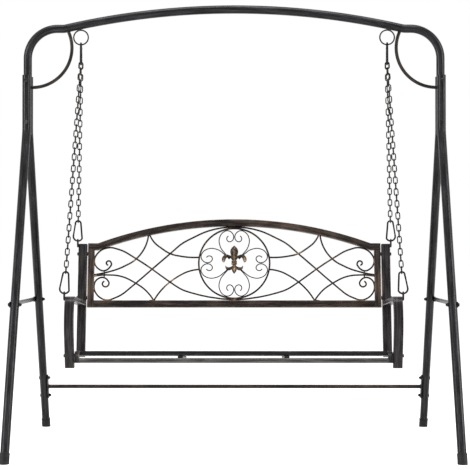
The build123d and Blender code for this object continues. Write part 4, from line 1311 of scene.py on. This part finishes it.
def pin_form():
    """The hinge pin with its two riveted heads."""
    half = hook_wire / 2
    head = dome(rivet_radius, half, rivet_rise, 5, 0.3)
    shank = [(pin_radius, -half + 0.1), (pin_radius, half - 0.1)]
    outline = [(r, -h) for r, h in reversed(head)] + shank + head
    return placed(lathe(outline, 16, 0.8), Matrix.Translation(hinge))


# Chains

def link_form(inner_length):
    """One oval link in the XY plane, long along Y, with the swell of its butt weld."""
    radius = (link_width - link_wire) / 2
    half = (inner_length + link_wire) / 2 - radius
    path = arc((0, half, 0), (radius, 0, 0), Z, 180, 12) + arc((0, -half, 0), (-radius, 0, 0), Z, 180, 12)
    path.insert(0, Vector((radius, 0, 0)))

    def rub(spot):
        return 0.1 + 0.75 * math.exp(-((abs(spot.y) - half - radius) / 4.5)**2)

    form = sweep(path, Z, round_section(link_wire, 14), closed=True, step=5, rub=rub)
    for index, spot in enumerate(form.points):
        if spot.x > 0 and abs(spot.y) < link_weld_half:
            bulge = 1 + link_weld_swell * math.cos(math.pi / 2 * spot.y / link_weld_half)
            form.points[index] = Vector((radius + (spot.x - radius) * bulge, spot.y, spot.z * bulge))
    return form


def chain_form(top, bottom):
    """The links from one wire to another, each turned a quarter from the last."""
    reach = (bottom - top).length + hook_wire - link_gap + chain_top_gap + chain_bottom_gap
    count = 2 * round(reach / link_pitch / 2)
    pitch = reach / count
    down = (bottom - top).normalized()
    across = (X - down * down.x).normalized()
    first = (pitch + link_gap - hook_wire) / 2 - chain_top_gap
    link = link_form(pitch + link_gap)
    form = Form()
    for index in range(count):
        x = across if index % 2 == 0 else down.cross(across)
        form.add(link, basis(x, -down, x.cross(-down), top + down * (first + index * pitch)))
    return form


# Hang the bench
wire_flat = math.cos(math.pi / 6)
hook_seat = (hook_wire + loop_wire) / 2 * wire_flat + gap
upper_rise = ring_wire / 2 + hook_play + hook_wire / 2 * wire_flat - hook_span
upper_origin = Vector((ring_x, 0, pivot_z + upper_rise))
places = {"upper": basis(Y, Z, X, upper_origin)}
chains = {}
for name, (y, top) in zip(("front", "rear"), loop_tops):
    eye = bench_place @ Vector((side_outer + gap + loop_wire / 2, y, top - loop_width / 2))
    lift = hook_wide_radius - math.sqrt(hook_wide_radius**2 - chain_spacing**2)
    start = upper_origin + Vector((0, math.copysign(chain_spacing, y), lift))
    down = (eye - start).normalized()
    across = (X - down * down.x).normalized()
    origin = eye - down * ((loop_width - loop_wire) / 2 - hook_seat)
    places[name] = basis(across, -down, across.cross(-down), origin)
    chains[name] = chain_form(start, origin - down * hook_span)

piece("upper_hooks", both(placed(hook_form(), places["upper"])), "swing", chain_paint, "upper_snap_hooks")
lower = placed(hook_form(), places["front"]).add(hook_form(), places["rear"])
piece("lower_hooks", both(lower), "swing", chain_paint, "lower_snap_hooks")
pins = Form()
for place in places.values():
    pins.add(pin_form(), place)
piece("pins", both(pins), "swing", bolt_paint, "hook_pins")
for hand, mirrored in hands:
    for name, form in chains.items():
        links = Form().add(form, mirrored=mirrored)
        piece(f"{name}_links_{hand}", links, "swing", chain_paint, f"{name}_chain_{hand}")
    for name, place in places.items():
        gate = placed(gate_form(), place, mirrored)
        body = f"{name}_gate_{hand}"
        piece(f"{name}_gate_bar_{hand}", gate, body, chain_paint, f"{name}_hook_gate_{hand}")


# Floor, light and camera

def seen(n):
    """One for camera, glossy and transmitted rays, and zero for the light that falls on the object."""
    rays = ("Is Camera Ray", "Is Glossy Ray", "Is Transmission Ray")
    camera_ray, glossy, through = (n.node("ShaderNodeLightPath", {}, ray) for ray in rays)
    return n.math("MAXIMUM", n.math("MAXIMUM", camera_ray, glossy), through)


def floor(reach=60.0):
    """A plain pale floor that keeps the object's shadow."""
    mesh = bpy.data.meshes.new("floor")
    spots = [(x * reach, y * reach, 0) for x, y in ((-1, -1), (1, -1), (1, 1), (-1, 1))]
    mesh.from_pydata(spots, [], [(0, 1, 2, 3)])
    material = bpy.data.materials.new("pale floor")
    n = Nodes(material)
    tone = n.mix(n.noise(n.node("ShaderNodeTexCoord", {}, "Object"), (1.5, 1.5, 1.5)), *floor_tones)
    shader = n.node("ShaderNodeBsdfPrincipled", {
        "Base Color": tone, "Roughness": 0.9, "Specular IOR Level": 0.0, "Emission Color": white,
        "Emission Strength": n.math("MULTIPLY", seen(n), floor_glow)})
    n.node("ShaderNodeOutputMaterial", {"Surface": shader})
    mesh.materials.append(material)
    show("floor", mesh)


def softbox(name, spot, aim, size, radiance):
    """A large soft lamp of a given brightness."""
    data = bpy.data.lights.new(name, "AREA")
    data.shape = "RECTANGLE"
    data.size, data.size_y = size
    data.energy = radiance * math.pi * size[0] * size[1]
    made = show(name, data)
    made.location = spot
    made.rotation_euler = (Vector(aim) - Vector(spot)).to_track_quat("-Z", "Y").to_euler()


def world():
    """Soft light from all round; the camera, gloss and glass see plain white."""
    made = bpy.data.worlds.new("studio")
    n = Nodes(made)
    level = n.node("ShaderNodeMapRange", {"Value": seen(n), "To Min": world_light, "To Max": 1.0})
    back = n.node("ShaderNodeBackground", {"Color": white, "Strength": level})
    n.node("ShaderNodeOutputWorld", {"Surface": back})
    bpy.context.scene.world = made


def camera():
    """The photograph's view."""
    data = bpy.data.cameras.new("camera")
    data.lens = camera_lens
    data.sensor_width = 36.0
    data.clip_end = 200.0
    made = show("camera", data)
    made.location = camera_spot
    made.rotation_euler = [math.radians(turn) for turn in camera_turn]
    bpy.context.scene.camera = made


floor()
world()
for lamp in lamps:
    softbox(*lamp)
camera()
bpy.context.scene.view_settings.view_transform = "Standard"
